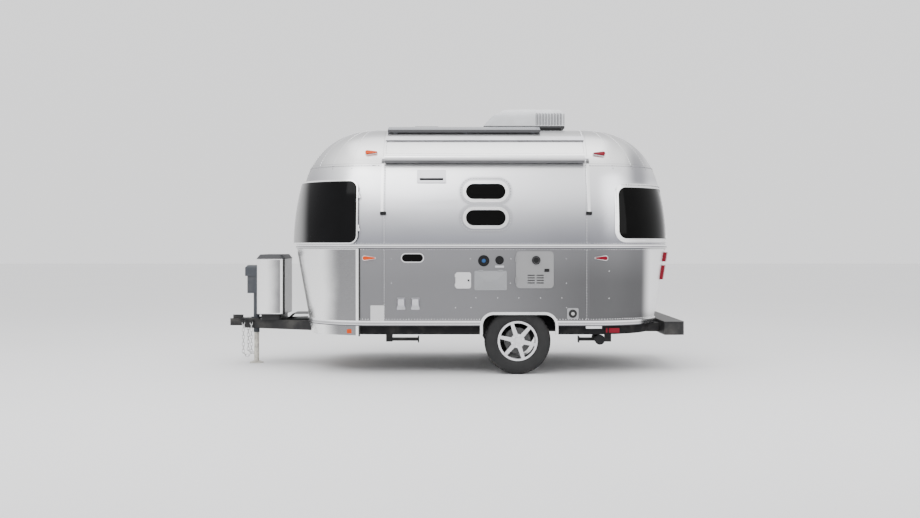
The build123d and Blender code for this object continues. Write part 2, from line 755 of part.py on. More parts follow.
leaf_skin = door_skin(-6, 2)
web_skin = door_skin(-3 * DOOR_HINGE_OUT, 2)
plate_skin = door_skin(-6, -SEAT)
post_skin = door_skin(-3 * DOOR_HINGE_OUT, -SEAT)
fixed_leaves = []
for z in DOOR_HINGES_Z:
    low = z - KNUCKLE_H
    high = z + KNUCKLE_H
    top = z - SPINDLE_GAP
    door += leaf_skin & box(hinge_x + DOOR_GAP, hinge_x + HINGE_LEAF, 0, REACH, z, high)
    door += web_skin & box(hinge_x + DOOR_GAP, hinge_x + 2 * KNUCKLE_R, 0, hinge_y + 4, z, high)
    door += box(hinge_x, hinge_x + 2 * KNUCKLE_R, hinge_y - 4, hinge_y + 4, z, high)
    door += rod_z(hinge_x, hinge_y, z, high, KNUCKLE_R)
    plate = plate_skin & box(hinge_x - HINGE_LEAF, hinge_x, 0, REACH, low, top)
    plate += post_skin & box(hinge_x - KNUCKLE_R, hinge_x + 1, 0, hinge_y, low, top)
    fixed_leaves.append(plate + rod_z(hinge_x, hinge_y, low, top, KNUCKLE_R))
nodes["entry_door"] = door
nodes["door_hinges"] = Compound(fixed_leaves)
nodes["door_glass"] = other_side(side_layer(2, 8, FRONT_SEAM_X, REAR_SEAM_X)) & door_glass_block(0)


# Doors and hatches of the street side
def hatch_plate(hatch, thickness):
    x, z, length, height, radius = hatch
    return outline_y(
        x, x + length, z, z + height, radius, -HALF_WIDTH - SEAT - thickness, -HALF_WIDTH - SEAT
    )


def hinge_barrel_z(x, low, high):
    return rod_z(x - HATCH_HINGE_SIDE, -HALF_WIDTH - HATCH_HINGE_OUT, low, high, KNUCKLE_R - 1)


heater = hatch_plate(HEATER, HATCH_T)
x, z, length, height, radius = HEATER
for column in range(LOUVRE_COLUMNS):
    for row in range(LOUVRE_ROWS):
        slot_x = x + LOUVRE_IN_X + column * LOUVRE_PITCH_X
        slot_z = z + LOUVRE_IN_Z + row * LOUVRE_PITCH_Z
        heater -= outline_y(
            slot_x, slot_x + LOUVRE_LENGTH, slot_z, slot_z + LOUVRE_H, LOUVRE_H / 2 - 0.5, -REACH, 0)
for low in (z + 50, z + height - 110):
    heater += hinge_barrel_z(x, low, low + 60)
flue_x = x + FLUE_IN_X
flue_z = z + FLUE_IN_Z
heater += rod_y(flue_x, flue_z, -HALF_WIDTH - 2 * HATCH_T, -HALF_WIDTH - HATCH_T, FLUE_R)
heater -= rod_y(flue_x, flue_z, -HALF_WIDTH - 3 * HATCH_T, -HALF_WIDTH - HATCH_T - 2, FLUE_BORE)
nodes["heater_door"] = heater

x, z, length, height, radius = CORD
cord = hatch_plate(CORD, CORD_T)
base_plane = Plane(origin=(x + length / 2, -HALF_WIDTH - SEAT - CORD_T, z + height / 2), x_dir=(1, 0, 0),
                   z_dir=(0, -1, 0))
top_plane = base_plane.offset(CORD_PYRAMID)
cord += loft([base_plane * Rectangle(length - 24, height - 24), top_plane * Rectangle(length - 190, 24)],
             ruled=True)
for low in (x + 40, x + length - 90):
    cord += Pos(low + 25, -HALF_WIDTH - 8.5, z + height + 3) * Rot(0, 90, 0) * Cylinder(6, 50)
nodes["cord_hatch"] = cord

small = hatch_plate(SMALL, SMALL_T)
x, z, length, height, radius = SMALL
small += rod_y(x + length - 26, z + height / 2, -HALF_WIDTH - 16, -HALF_WIDTH - 10, 11)
for low in (z + 20, z + height - 50):
    small += rod_z(x - 1, -HALF_WIDTH - 9, low, low + 30, 6)
nodes["small_hatch"] = small

# Inlets and outlets of the street side: centre x, centre z, radius, how proud
ROUND_INLETS = [
    (360, 1168, 58, 20),
    (522, 1174, 44, 16),
]
inlets = []
for x, z, radius, proud in ROUND_INLETS:
    flange = rod_y(x, z, -HALF_WIDTH - 6, -HALF_WIDTH - SEAT, radius)
    ring = rod_y(x, z, -HALF_WIDTH - proud, -HALF_WIDTH - 6, radius * 0.78)
    inlets.append(flange + ring - rod_y(x, z, -HALF_WIDTH - proud - 1, -HALF_WIDTH - 8, radius * 0.6))
SOCKET_X = 1272
SOCKET_Z = 626
SOCKET_SIZE = 116
SOCKET_CAP_R = 34
half = SOCKET_SIZE / 2
socket = outline_y(SOCKET_X - half, SOCKET_X + half, SOCKET_Z - half + 1, SOCKET_Z + half - 1, 14,
                   -HALF_WIDTH - 10, -HALF_WIDTH - SEAT)
inlets.append(socket + rod_y(SOCKET_X, SOCKET_Z, -HALF_WIDTH - 22, -HALF_WIDTH - 10, SOCKET_CAP_R))
nodes["inlets"] = Compound(inlets)

# Tapered outlet covers: centre x
OUTLETS = [-486, -340]
OUTLET_Z = 728
OUTLET_W = 90
OUTLET_H = 123
OUTLET_PROUD = 30
OUTLET_DROP = 16
EXHAUST = (-327, 1971, 300, 135, 12)
EXHAUST_SLOT = (-300, 1996, 246, 24, 8)
EXHAUST_PROUD = 14
outlets = []
for x in OUTLETS:
    back = Plane(origin=(x, -HALF_WIDTH - SEAT, OUTLET_Z), x_dir=(1, 0, 0), z_dir=(0, -1, 0))
    front = Plane(origin=(x, -HALF_WIDTH - OUTLET_PROUD, OUTLET_Z + OUTLET_DROP), x_dir=(1, 0, 0),
                  z_dir=(0, -1, 0))
    outlets.append(loft([
        back * RectangleRounded(OUTLET_W, OUTLET_H, 10),
        front * RectangleRounded(0.7 * OUTLET_W, 0.5 * OUTLET_H, 10)], ruled=True))
x, z, length, height, radius = EXHAUST
exhaust = side_layer(-EXHAUST_PROUD, 0, FRONT_SEAM_X, REAR_SEAM_X)
exhaust &= outline_y(x, x + length, z, z + height, radius, -REACH, 0)
x, z, length, height, radius = EXHAUST_SLOT
exhaust -= outline_y(x, x + length, z, z + height, radius, -REACH, 0)
nodes["vent_covers"] = Compound(outlets + [exhaust])


# Marker lamps on the skin
def teardrop(x, z, grow):
    """A lamp's outline: round at one end and drawn out to a blunt point at the other."""
    radius = LAMP_R + grow
    plane = Plane(origin=(x, 0, z), x_dir=(1, 0, 0), z_dir=(0, -1, 0))
    tip = LAMP_TIP + grow
    tail = make_face(Polyline((0, radius), (tip, radius * 0.3), (tip, -radius * 0.3), (0, -radius), close=True))
    return extrude(plane * (Circle(radius) + tail), REACH)


upper_skin = front_left_corner(-8, 0) + side_layer(-8, 0, FRONT_AXIS_X, MID_X)
upper_lens = front_left_corner(-24, -8) + side_layer(-24, -8, FRONT_AXIS_X, MID_X)
lower_skin = lower_ring(1100, BELT_RAIL_LOW, -8, -SEAT)
lower_lens = lower_ring(1100, BELT_RAIL_LOW, -24, -8)
lamps = []
for x, z in MARKER_LAMPS:
    rear = x > MID_X
    front_x = 2 * MID_X - x if rear else x
    skin, lens = (upper_skin, upper_lens) if z > BELT_Z else (lower_skin, lower_lens)
    lamp = (skin & teardrop(front_x, z, 0)) + (lens & teardrop(front_x, z, -7))
    if rear:
        lamp = other_end(lamp)
    lamps += [lamp, other_side(lamp)]
nodes["marker_lamps"] = Compound(lamps)

# Tail lamps: low z, high z
TAIL_LAMPS = [
    (958, 1110),
    (1150, 1250),
]
rear_lamps = []
for low, high in TAIL_LAMPS:
    cut = box(REAR_AXIS_X, REACH, -640, -530, low, high)
    lamp = lower_ring(low - 1, high + 1, -34, -SEAT) & cut
    rear_lamps += [lamp, other_side(lamp)]
nodes["tail_lamps"] = Compound(rear_lamps)


# Awnings
def awning(side, z):
    y = HALF_WIDTH - inset_at(z) + AWNING_STAND
    tube = Pos((AWNING_LOW_X + AWNING_HIGH_X) / 2, -y, z) * Rot(0, 90, 0) * Cylinder(
        AWNING_R, AWNING_HIGH_X - AWNING_LOW_X)
    skin_y = HALF_WIDTH - inset_at(z - 12)
    tube += box(AWNING_LOW_X, AWNING_HIGH_X, -y, -skin_y - SEAT - 1, z - 12, z + 12)
    for x, away in ((AWNING_LOW_X - 21, -1), (AWNING_HIGH_X + 38, 1)):
        arm = side_layer(-AWNING_ARM_T, -SEAT, x - AWNING_ARM_W / 2, x + AWNING_ARM_W / 2)
        arm &= box(-REACH, REACH, -REACH, 0, AWNING_ARM_LOW, z + 20)
        pin = Pos(x - away * 16, -y + 34, z) * Rot(0, 90, 0) * Cylinder(12, 50)
        tube += arm + pin
    return tube if side < 0 else other_side(tube)


nodes["awnings"] = Compound([awning(side, z) for side, z in AWNINGS])

# Roof
gutter = left_quarter(-GUTTER_PROUD, -SEAT, FRONT_SEAM_X, REAR_SEAM_X, HALF_WIDTH)
gutter &= box(-REACH, REACH, -REACH, 0, ROOF_Z - GUTTER_DROP, ROOF_Z - GUTTER_DROP + GUTTER_H)
nodes["roof_gutters"] = Compound([gutter, other_side(gutter)])

ac_profile = Plane.XZ * make_face(Polyline(
    (AC_LOW_X, AC_BASE_Z), (AC_LOW_X, AC_BASE_Z + 30), (AC_LOW_X + 90, AC_TOP_Z - 90),
    (AC_LOW_X + 230, AC_TOP_Z - 12), (AC_LOW_X + 420, AC_TOP_Z), (AC_HIGH_X - 60, AC_TOP_Z - 6),
    (AC_HIGH_X, AC_TOP_Z - 50), (AC_HIGH_X, AC_BASE_Z), close=True))
ac_side = extrude(ac_profile, AC_HALF, both=True)
ac_end = outline_x(-AC_HALF, AC_HALF, AC_BASE_Z - 2 * AC_R, AC_TOP_Z, AC_R, AC_LOW_X, AC_HIGH_X)
ac = ac_side & ac_end
pitch = (AC_HIGH_X - 30 - AC_GRILLE_X) / AC_SLOTS
for index in range(AC_SLOTS):
    x = AC_GRILLE_X + pitch * (index + 0.25)
    for side in (-1, 1):
        ac -= box(x, x + pitch / 2, side * AC_HALF - 14, side * AC_HALF + 14, AC_BASE_Z + 30, AC_TOP_Z - 50)
ac += box(AC_LOW_X + AC_FOOT_IN, AC_HIGH_X - AC_FOOT_IN, AC_FOOT_IN - AC_HALF, AC_HALF - AC_FOOT_IN,
          ROOF_Z, AC_BASE_Z)
nodes["air_conditioner"] = ac

half = VENT_SIZE / 2
vent_rim = box(VENT_X - half, VENT_X + half, -half, half, ROOF_Z, ROOF_Z + VENT_BASE_H)
half -= VENT_RIM
vent_rim -= box(VENT_X - half, VENT_X + half, -half, half, ROOF_Z + 4, REACH)
nodes["vent_base"] = vent_rim
lid_low = ROOF_Z + VENT_BASE_H + SEAT
lid_size = VENT_SIZE + 2 * VENT_LID_OVER
lid_base = Pos(VENT_X, 0, lid_low) * RectangleRounded(lid_size, lid_size, 40)
lid_mid = Pos(VENT_X, 0, lid_low + VENT_LID_EDGE) * RectangleRounded(lid_size, lid_size, 40)
lid_top = Pos(VENT_X, 0, ROOF_Z + VENT_H) * RectangleRounded(lid_size - 86, lid_size - 86, 30)
nodes["vent_lid"] = extrude(lid_base, VENT_LID_EDGE) + loft([lid_mid, lid_top], ruled=True)

solar_high_x = SOLAR_LOW_X + SOLAR_LENGTH
solar_room = box(-REACH, REACH, -SOLAR_OUT, -SOLAR_IN, 0, REACH)
panel = left_quarter(-SOLAR_STAND - SOLAR_T, -SOLAR_STAND, SOLAR_LOW_X, solar_high_x, HALF_WIDTH) & solar_room
for x in (SOLAR_LOW_X + 60, MID_X - 190, solar_high_x - 100):
    for y in (SOLAR_IN + 30, SOLAR_OUT - 70):
        foot = left_quarter(-SOLAR_STAND, -SEAT, x, x + SOLAR_FOOT, HALF_WIDTH)
        panel += foot & box(-REACH, REACH, -y - SOLAR_FOOT, -y, 0, REACH)
nodes["solar_panels"] = Compound([panel, other_side(panel)])

# Wheels and axle
def tyre():
    half = TYRE_W / 2
    side_r = (TYRE_R + BEAD_R) / 2
    bead = RIM_W / 2 - FLANGE_T - SEAT
    foot = RIM_R + 8
    edges = [Line((BEAD_R, bead), (BEAD_R, -bead))]
    for side in (-1, 1):
        edges += [
            Line((BEAD_R, side * bead), (RIM_R + SEAT, side * bead)),
            Line((RIM_R + SEAT, side * bead), (foot, side * (half - 12))),
            ThreePointArc((foot, side * (half - 12)), (side_r, side * half), (TYRE_R - 26, side * (half - 8))),
            Line((TYRE_R - 26, side * (half - 8)), (TYRE_R - 6, side * (half - 26))),
        ]
    edges.append(ThreePointArc((TYRE_R - 6, 26 - half), (TYRE_R, 0), (TYRE_R - 6, half - 26)))
    return revolve(make_face(edges), Axis.Y)


def wheel():
    """Rim, spokes, hub and brake drum, about the Y axis, with the outer face to -Y."""
    half = RIM_W / 2
    seat = half - FLANGE_T
    barrel = make_face(Polyline(
        (RIM_R, -half), (RIM_R, -seat), (BEAD_R - SEAT, -seat), (BEAD_R - SEAT, seat),
        (RIM_R, seat), (RIM_R, half), (BEAD_R - RIM_T, half), (BEAD_R - RIM_T, -half), close=True))
    body = revolve(barrel, Axis.Y)
    face = -half + FACE_IN
    body += rod_y(0, 0, face, face + HUB_T, HUB_R)
    for index in range(SPOKES):
        angle = SPOKE_FIRST + index * 360 / SPOKES
        spoke = make_face(Polyline(
            (HUB_R - 20, -SPOKE_W / 2 - 6), (BEAD_R - RIM_T + 2, -SPOKE_W / 2), (BEAD_R - RIM_T + 2, SPOKE_W / 2),
            (HUB_R - 20, SPOKE_W / 2 + 6), close=True))
        body += Rot(0, -angle, 0) * Pos(0, face + SPOKE_T, 0) * extrude(Plane.XZ * spoke, SPOKE_T)
    body += rod_y(0, 0, face - CAP_LENGTH + 10, face + 1, CAP_R)
    body += rod_y(0, 0, face + HUB_T - 2, face + HUB_T + DRUM_T, DRUM_R)
    body -= rod_y(0, 0, face + FACE_IN, REACH, SPINDLE_R + SPINDLE_GAP)
    return body


wheel_place = Pos(AXLE_X, -WHEEL_Y, TYRE_R)
left_tyre = wheel_place * tyre()
left_wheel = wheel_place * wheel()
nodes["tyre_left"] = left_tyre
nodes["tyre_right"] = other_side(left_tyre)
nodes["wheel_left"] = left_wheel
nodes["wheel_right"] = other_side(left_wheel)

axle_z = RAIL_LOW - AXLE_TUBE / 2
axle_x = AXLE_X - AXLE_BACK
spindle_tip = -WHEEL_Y - RIM_W / 2 + 2 * FACE_IN + 2
arm_y0 = -WHEEL_Y + TYRE_W / 2 + ARM_CLEAR
axle = box(axle_x - AXLE_TUBE / 2, axle_x + AXLE_TUBE / 2, arm_y0 + ARM_W, -arm_y0 - ARM_W,
           axle_z - AXLE_TUBE / 2, RAIL_LOW)
arm_ends = Pos(axle_x, axle_z) * Circle(44) + Pos(AXLE_X, TYRE_R) * Circle(36)
arm_face = Plane.XZ * make_hull(arm_ends.edges())
arm = Pos(0, arm_y0 + ARM_W, 0) * extrude(arm_face, ARM_W)
spindle = rod_y(AXLE_X, TYRE_R, spindle_tip, arm_y0 + 2, SPINDLE_R)
axle += arm + spindle
axle += other_side(arm + spindle)
nodes["axle_beam"] = axle

# Coupler at the tip of the tongue
coupler_low = RAIL_TOP - COUPLER_H
coupler = box(BALL_X, TONGUE_TIP_X, -COUPLER_W / 2, COUPLER_W / 2, coupler_low, RAIL_TOP)
coupler += rod_z(BALL_X, 0, coupler_low, RAIL_TOP, BALL_X - COUPLER_TIP_X)
wing = make_face(Polyline((TONGUE_TIP_X - 60, -42), (TONGUE_TIP_X, -90), (TONGUE_TIP_X + 170, -150),
                          (TONGUE_TIP_X + 170, 150), (TONGUE_TIP_X, 90), (TONGUE_TIP_X - 60, 42), close=True))
coupler += Pos(0, 0, RAIL_TOP) * extrude(wing, 8)
coupler += box(BALL_X - 10, TONGUE_TIP_X - 30, -14, 14, RAIL_TOP, RAIL_TOP + 42)
coupler -= rod_z(BALL_X, 0, coupler_low - 1, coupler_low + BALL_DEPTH, BALL_R)
coupler -= rod_z(JACK_X, 0, 0, REACH, JACK_SLEEVE_R + SEAT)
nodes["coupler"] = coupler

# Jack
sleeve = rod_z(JACK_X, 0, JACK_SLEEVE_LOW, JACK_HEAD_LOW, JACK_SLEEVE_R)
sleeve -= rod_z(JACK_X, 0, 0, JACK_HEAD_LOW - 20, JACK_TUBE_R + JACK_CLEAR)
flange_z = RAIL_TOP + 8 + SEAT
sleeve += rod_z(JACK_X, 0, flange_z, flange_z + 10, JACK_SLEEVE_R + 26) - rod_z(
    JACK_X, 0, 0, REACH, JACK_SLEEVE_R - 1)
head = box(JACK_X - 95, JACK_X + 42, -58, 58, JACK_HEAD_LOW, JACK_HEAD_TOP - 122)
cap_block = box(JACK_X - 118, JACK_X + 44, -72, 72, JACK_HEAD_TOP - 122, JACK_HEAD_TOP)
cap_block = chamfer(cap_block.edges().group_by(Axis.Z)[-1], 26)
nodes["jack_post"] = sleeve + head + cap_block
leg = rod_z(JACK_X, 0, JACK_FOOT_T - 5, JACK_TUBE_TOP, JACK_TUBE_R)
foot = Pos(JACK_X, 0, 0) * loft([
    Pos(0, 0, 8) * Circle(JACK_FOOT_R), Pos(0, 0, JACK_FOOT_T) * Circle(JACK_TUBE_R + 10)], ruled=True)
nodes["jack_leg"] = leg + foot + rod_z(JACK_X, 0, 0, 8, JACK_FOOT_R)

# Gas cover and its tray
gas_x = GAS_FRONT_X + GAS_DEPTH / 2
shell = extrude(Pos(gas_x, 0, GAS_LOW) * RectangleRounded(GAS_DEPTH, GAS_WIDTH, GAS_R), GAS_HIGH - GAS_LOW)
shell -= extrude(
    Pos(gas_x, 0, GAS_LOW) * RectangleRounded(
        GAS_DEPTH - 2 * GAS_SHEET, GAS_WIDTH - 2 * GAS_SHEET, GAS_R - GAS_SHEET), GAS_HIGH - GAS_LOW)
gas_lid = loft([
    Pos(gas_x, 0, GAS_HIGH) * RectangleRounded(GAS_DEPTH + 16, GAS_WIDTH + 16, GAS_R + 6),
    Pos(gas_x, 0, GAS_TOP) * RectangleRounded(GAS_DEPTH - 60, GAS_WIDTH - 60, GAS_R - 16)], ruled=True)
nodes["gas_cover"] = shell
nodes["gas_lid"] = gas_lid
tray_z = RAIL_TOP + SEAT
tray = box(GAS_FRONT_X + 10, NOSE_X + END_LEAN - 30, -200, 200, tray_z, tray_z + 6)
tray += extrude(Pos(gas_x, 0, tray_z) * RectangleRounded(GAS_DEPTH - 90, GAS_WIDTH - 90, 30),
                GAS_LOW - SEAT - tray_z)
tray += extrude(Pos(gas_x, 0, GAS_LOW - SEAT - TRAY_T) * RectangleRounded(GAS_DEPTH, GAS_WIDTH, GAS_R), TRAY_T)
deck_profile = Plane.XZ * make_face(Polyline(
    (gas_x + 160, tray_z + 6), (gas_x + 230, tray_z + 66), (NOSE_X + END_LEAN - 30, tray_z + 66),
    (NOSE_X + END_LEAN - 30, tray_z + 60), (gas_x + 233, tray_z + 60), (gas_x + 168, tray_z + 6), close=True))
tray += extrude(deck_profile, 200, both=True)
nodes["gas_tray"] = tray


def link_outline(half_length, half_width, cut):
    """A rectangle with its corners cut off, the outline of one side of a link."""
    return make_face(Polyline(
        (half_length, half_width - cut), (half_length - cut, half_width), (cut - half_length, half_width),
        (-half_length, half_width - cut), (-half_length, cut - half_width), (cut - half_length, -half_width),
        (half_length - cut, -half_width), (half_length, cut - half_width), close=True))


def joint_half(index):
    """Distance from a link's middle to the joint before link number index."""
    if STRAND_LINKS <= index <= STRAND_LINKS + BEND_LINKS:
        return BEND_HALF
    return STRAND_HALF


link = extrude(
    link_outline(LINK_LENGTH / 2, LINK_W / 2, LINK_CUT)
    - link_outline(LINK_LENGTH / 2 - LINK_WIRE, LINK_W / 2 - LINK_WIRE, LINK_CUT - LINK_WIRE / 2),
    LINK_WIRE / 2, both=True)
chain = []
x = CHAIN_X - CHAIN_HALF
z = LUG_Z + LUG_R + LUG_PLAY - LINK_LENGTH / 2 + LINK_WIRE + STRAND_HALF
angle = -90
for index in range(2 * STRAND_LINKS + BEND_LINKS):
    x += joint_half(index) * math.cos(math.radians(angle))
    z += joint_half(index) * math.sin(math.radians(angle))
    turned = Rot(0, 0, 0) if index % 2 else Rot(90, 0, 0)
    for side in (-1, 1):
        chain.append(Pos(x, side * CHAIN_Y, z) * Rot(0, -angle, 0) * turned * link)
    x += joint_half(index + 1) * math.cos(math.radians(angle))
    z += joint_half(index + 1) * math.sin(math.radians(angle))
    if joint_half(index + 1) == BEND_HALF:
        angle += 180 / (BEND_LINKS + 1)
nodes["safety_chains"] = Compound(chain)

# Bumper
bumper = box(BUMPER_FRONT_X, BUMPER_REAR_X, -BUMPER_HALF, BUMPER_HALF, BUMPER_LOW, BUMPER_LOW + BUMPER_H)
bumper = fillet(bumper.edges().filter_by(Axis.Z).group_by(Axis.X)[-1], 60)
bumper += box(RAIL_REAR_X, BUMPER_FRONT_X, -RAIL_Y - 25, -RAIL_Y + 25, RAIL_LOW, BUMPER_LOW + BUMPER_H - 30)
bumper += box(RAIL_REAR_X, BUMPER_FRONT_X, RAIL_Y - 25, RAIL_Y + 25, RAIL_LOW, BUMPER_LOW + BUMPER_H - 30)
nodes["rear_bumper"] = bumper

# Stabiliser legs and their brackets
brackets = []
for name, x, toward, side in STABILISERS:
    y = side * LEG_Y
    half = LEG_W / 2
    leg = box(x, x + toward * LEG_LENGTH, y - half, y + half, LEG_PIVOT_Z - LEG_T / 2, LEG_PIVOT_Z + LEG_T / 2)
    leg += rod_y(x, LEG_PIVOT_Z, y - half, y + half, LEG_T / 2)
    end_x = x + toward * LEG_LENGTH
    leg += box(min(end_x, end_x + toward * 10), max(end_x, end_x + toward * 10), y - 60, y + 60,
               LEG_PIVOT_Z - 34, LEG_PIVOT_Z + 34)
    leg -= rod_y(x, LEG_PIVOT_Z, y - half - 1, y + half + 1, LEG_PIN_R + SPINDLE_GAP)
    nodes["stabiliser_" + name] = leg
    cheek_y = half + CHEEK_GAP
    bracket = rod_y(x, LEG_PIVOT_Z, y - cheek_y - CHEEK_T, y + cheek_y + CHEEK_T, LEG_PIN_R)
    for cheek in (-1, 1):
        y0 = y + cheek * cheek_y
        y1 = y0 + cheek * CHEEK_T
        bracket += box(x - 34, x + 34, min(y0, y1), max(y0, y1), LEG_PIVOT_Z - 26, RAIL_LOW)
    bracket += box(x - 34, x + 34, min(side * (RAIL_Y - 25), y + side * (cheek_y + CHEEK_T)),
                   max(side * (RAIL_Y - 25), y + side * (cheek_y + CHEEK_T)), RAIL_LOW - 6, RAIL_LOW)
    brackets.append(bracket)
nodes["stabiliser_brackets"] = Compound(brackets)

# Step under the door
STEP_X = -110
STEP_HALF = 220
STEP_OFF_RAIL = 25
STEP_BACK_Y = RAIL_Y + RAIL_W / 2 + STEP_OFF_RAIL
STEP_FRONT_Y = HALF_WIDTH - 40
STEP_DEPTH = 280
STEP_H = 34
STEP_RUNNER_W = 24
STEP_PLAY = 0.5
STEP_WALL = 4
step_low = STRIP_LOW - 40
carrier_half = STEP_HALF + STEP_PLAY + STEP_RUNNER_W
carrier = box(STEP_X - carrier_half, STEP_X + carrier_half, STEP_BACK_Y, STEP_FRONT_Y - 20,
              step_low - 4, PAN_Z - SEAT)
carrier -= box(STEP_X - STEP_HALF - STEP_PLAY, STEP_X + STEP_HALF + STEP_PLAY, STEP_BACK_Y + 20, REACH,
               0, PAN_Z)
nodes["step_carrier"] = carrier
step = box(STEP_X - STEP_HALF, STEP_X + STEP_HALF, STEP_FRONT_Y - STEP_DEPTH, STEP_FRONT_Y,
           step_low, step_low + STEP_H)
nodes["entry_step"] = step - box(
    STEP_X - STEP_HALF + STEP_WALL, STEP_X + STEP_HALF - STEP_WALL, STEP_FRONT_Y - STEP_DEPTH + STEP_WALL,
    STEP_FRONT_Y - STEP_WALL, step_low - 1, step_low + STEP_H - STEP_WALL)

# Waste outlet
WASTE_X = 1560
WASTE_Z = 352
WASTE_R = 44
WASTE_CAP_R = 52
WASTE_CAP_T = 16
WASTE_LENGTH = 360
WASTE_DROP_W = 60
cap_y = -HALF_WIDTH + 100
waste = rod_y(WASTE_X, WASTE_Z, cap_y, cap_y + WASTE_LENGTH, WASTE_R)
waste += rod_y(WASTE_X, WASTE_Z, cap_y - WASTE_CAP_T, cap_y, WASTE_CAP_R)
waste += box(WASTE_X - WASTE_DROP_W / 2, WASTE_X + WASTE_DROP_W / 2, cap_y + WASTE_LENGTH - WASTE_DROP_W,
             cap_y + WASTE_LENGTH, WASTE_Z, PAN_Z)
nodes["waste_outlet"] = waste

os.makedirs("parts", exist_ok=True)
for name, shape in nodes.items():
    if isinstance(shape, (list, ShapeList)):
        shape = Compound(list(shape))
    shape.label = name
    export_step(shape, os.path.join("parts", name + ".step"))
for z in (GUARD_HINGE_LOW, GUARD_HINGE_HIGH):
    print("guard hinge", z, guard_hinge_point(z))
print("nodes", len(nodes), "roof", ROOF_Z)
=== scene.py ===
import math

import bmesh
import bpy
from mathutils import Matrix, Vector
from mathutils.bvhtree import BVHTree


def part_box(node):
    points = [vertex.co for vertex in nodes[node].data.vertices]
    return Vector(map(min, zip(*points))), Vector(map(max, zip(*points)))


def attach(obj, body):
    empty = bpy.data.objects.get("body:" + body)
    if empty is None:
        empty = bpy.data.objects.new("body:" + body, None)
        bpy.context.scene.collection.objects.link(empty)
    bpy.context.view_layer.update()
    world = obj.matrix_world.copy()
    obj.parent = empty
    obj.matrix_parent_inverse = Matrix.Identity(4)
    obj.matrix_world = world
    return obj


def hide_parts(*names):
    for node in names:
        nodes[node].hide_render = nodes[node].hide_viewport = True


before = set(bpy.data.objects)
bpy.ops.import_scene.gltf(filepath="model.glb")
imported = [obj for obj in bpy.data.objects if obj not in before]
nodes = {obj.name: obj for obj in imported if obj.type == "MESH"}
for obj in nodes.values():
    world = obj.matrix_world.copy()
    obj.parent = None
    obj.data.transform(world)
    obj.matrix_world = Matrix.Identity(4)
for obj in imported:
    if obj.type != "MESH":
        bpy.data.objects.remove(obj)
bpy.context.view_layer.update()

# Where the body changes, in metres
FRONT_SEAM_X = -0.667
REAR_SEAM_X = 1.424
FRONT_AXIS_X = -0.771
REAR_AXIS_X = 1.471
CORNER_Y = 0.32
SKIRT_Z = 0.56
BELT_Z = 1.322
SHOULDER_SEAM_Z = 2.16
WALL_Y = 1.22

# Frames of the two slot windows: their middle, how far each lies above or below it, and their outline
SLOT_X = 0.382
SLOT_Z = 1.745
SLOT_APART = 0.136
SLOT_STRAIGHT = 0.124
SLOT_R = 0.133

# Wheels
AXLE_X = 0.71
WHEEL_Y = 1.0955
TYRE_R = 0.342

# Photograph: 920 by 518 pixels, horizon row and distance give the camera
PHOTO_WIDTH = 920
HORIZON_DROP = 17
CAMERA_PLACE = (0.117, -13.12, 1.36)
VIEW_ANGLE = 43.2
SENSOR = 36.0


# Materials
class Value:
    """A socket of a material, with arithmetic that adds the nodes for it."""

    def __init__(self, paint, socket):
        self.paint = paint
        self.socket = socket

    def _math(self, operation, *given):
        return self.paint.node("Math", {"operation": operation}, dict(enumerate(given)))

    def __add__(self, other):
        return self._math("ADD", self, other)

    def __radd__(self, other):
        return self._math("ADD", other, self)

    def __sub__(self, other):
        return self._math("SUBTRACT", self, other)

    def __rsub__(self, other):
        return self._math("SUBTRACT", other, self)

    def __mul__(self, other):
        return self._math("MULTIPLY", self, other)

    def __rmul__(self, other):
        return self._math("MULTIPLY", other, self)

    def __truediv__(self, other):
        return self._math("DIVIDE", self, other)

    def __mod__(self, other):
        return self._math("MODULO", self, other)

    def __abs__(self):
        return self._math("ABSOLUTE", self)

    def root(self):
        return self._math("SQRT", self)

    def floor(self):
        return self._math("FLOOR", self)

    def lowest(self, other):
        return self._math("MINIMUM", self, other)

    def highest(self, other):
        return self._math("MAXIMUM", self, other)

    def step(self, low, high):
        """0 below low, 1 above high and smooth between."""
        return self.paint.node(
            "MapRange", {"interpolation_type": "SMOOTHSTEP"}, {0: self, 1: low, 2: high, 3: 0.0, 4: 1.0}
        )

    def near(self, middle, inner, outer):
        """1 within inner of a middle, 0 beyond outer."""
        return 1 - abs(self - middle).step(inner, outer)


def span(across, rise):
    """Length of a step with these two parts."""
    return (across * across + rise * rise).root()


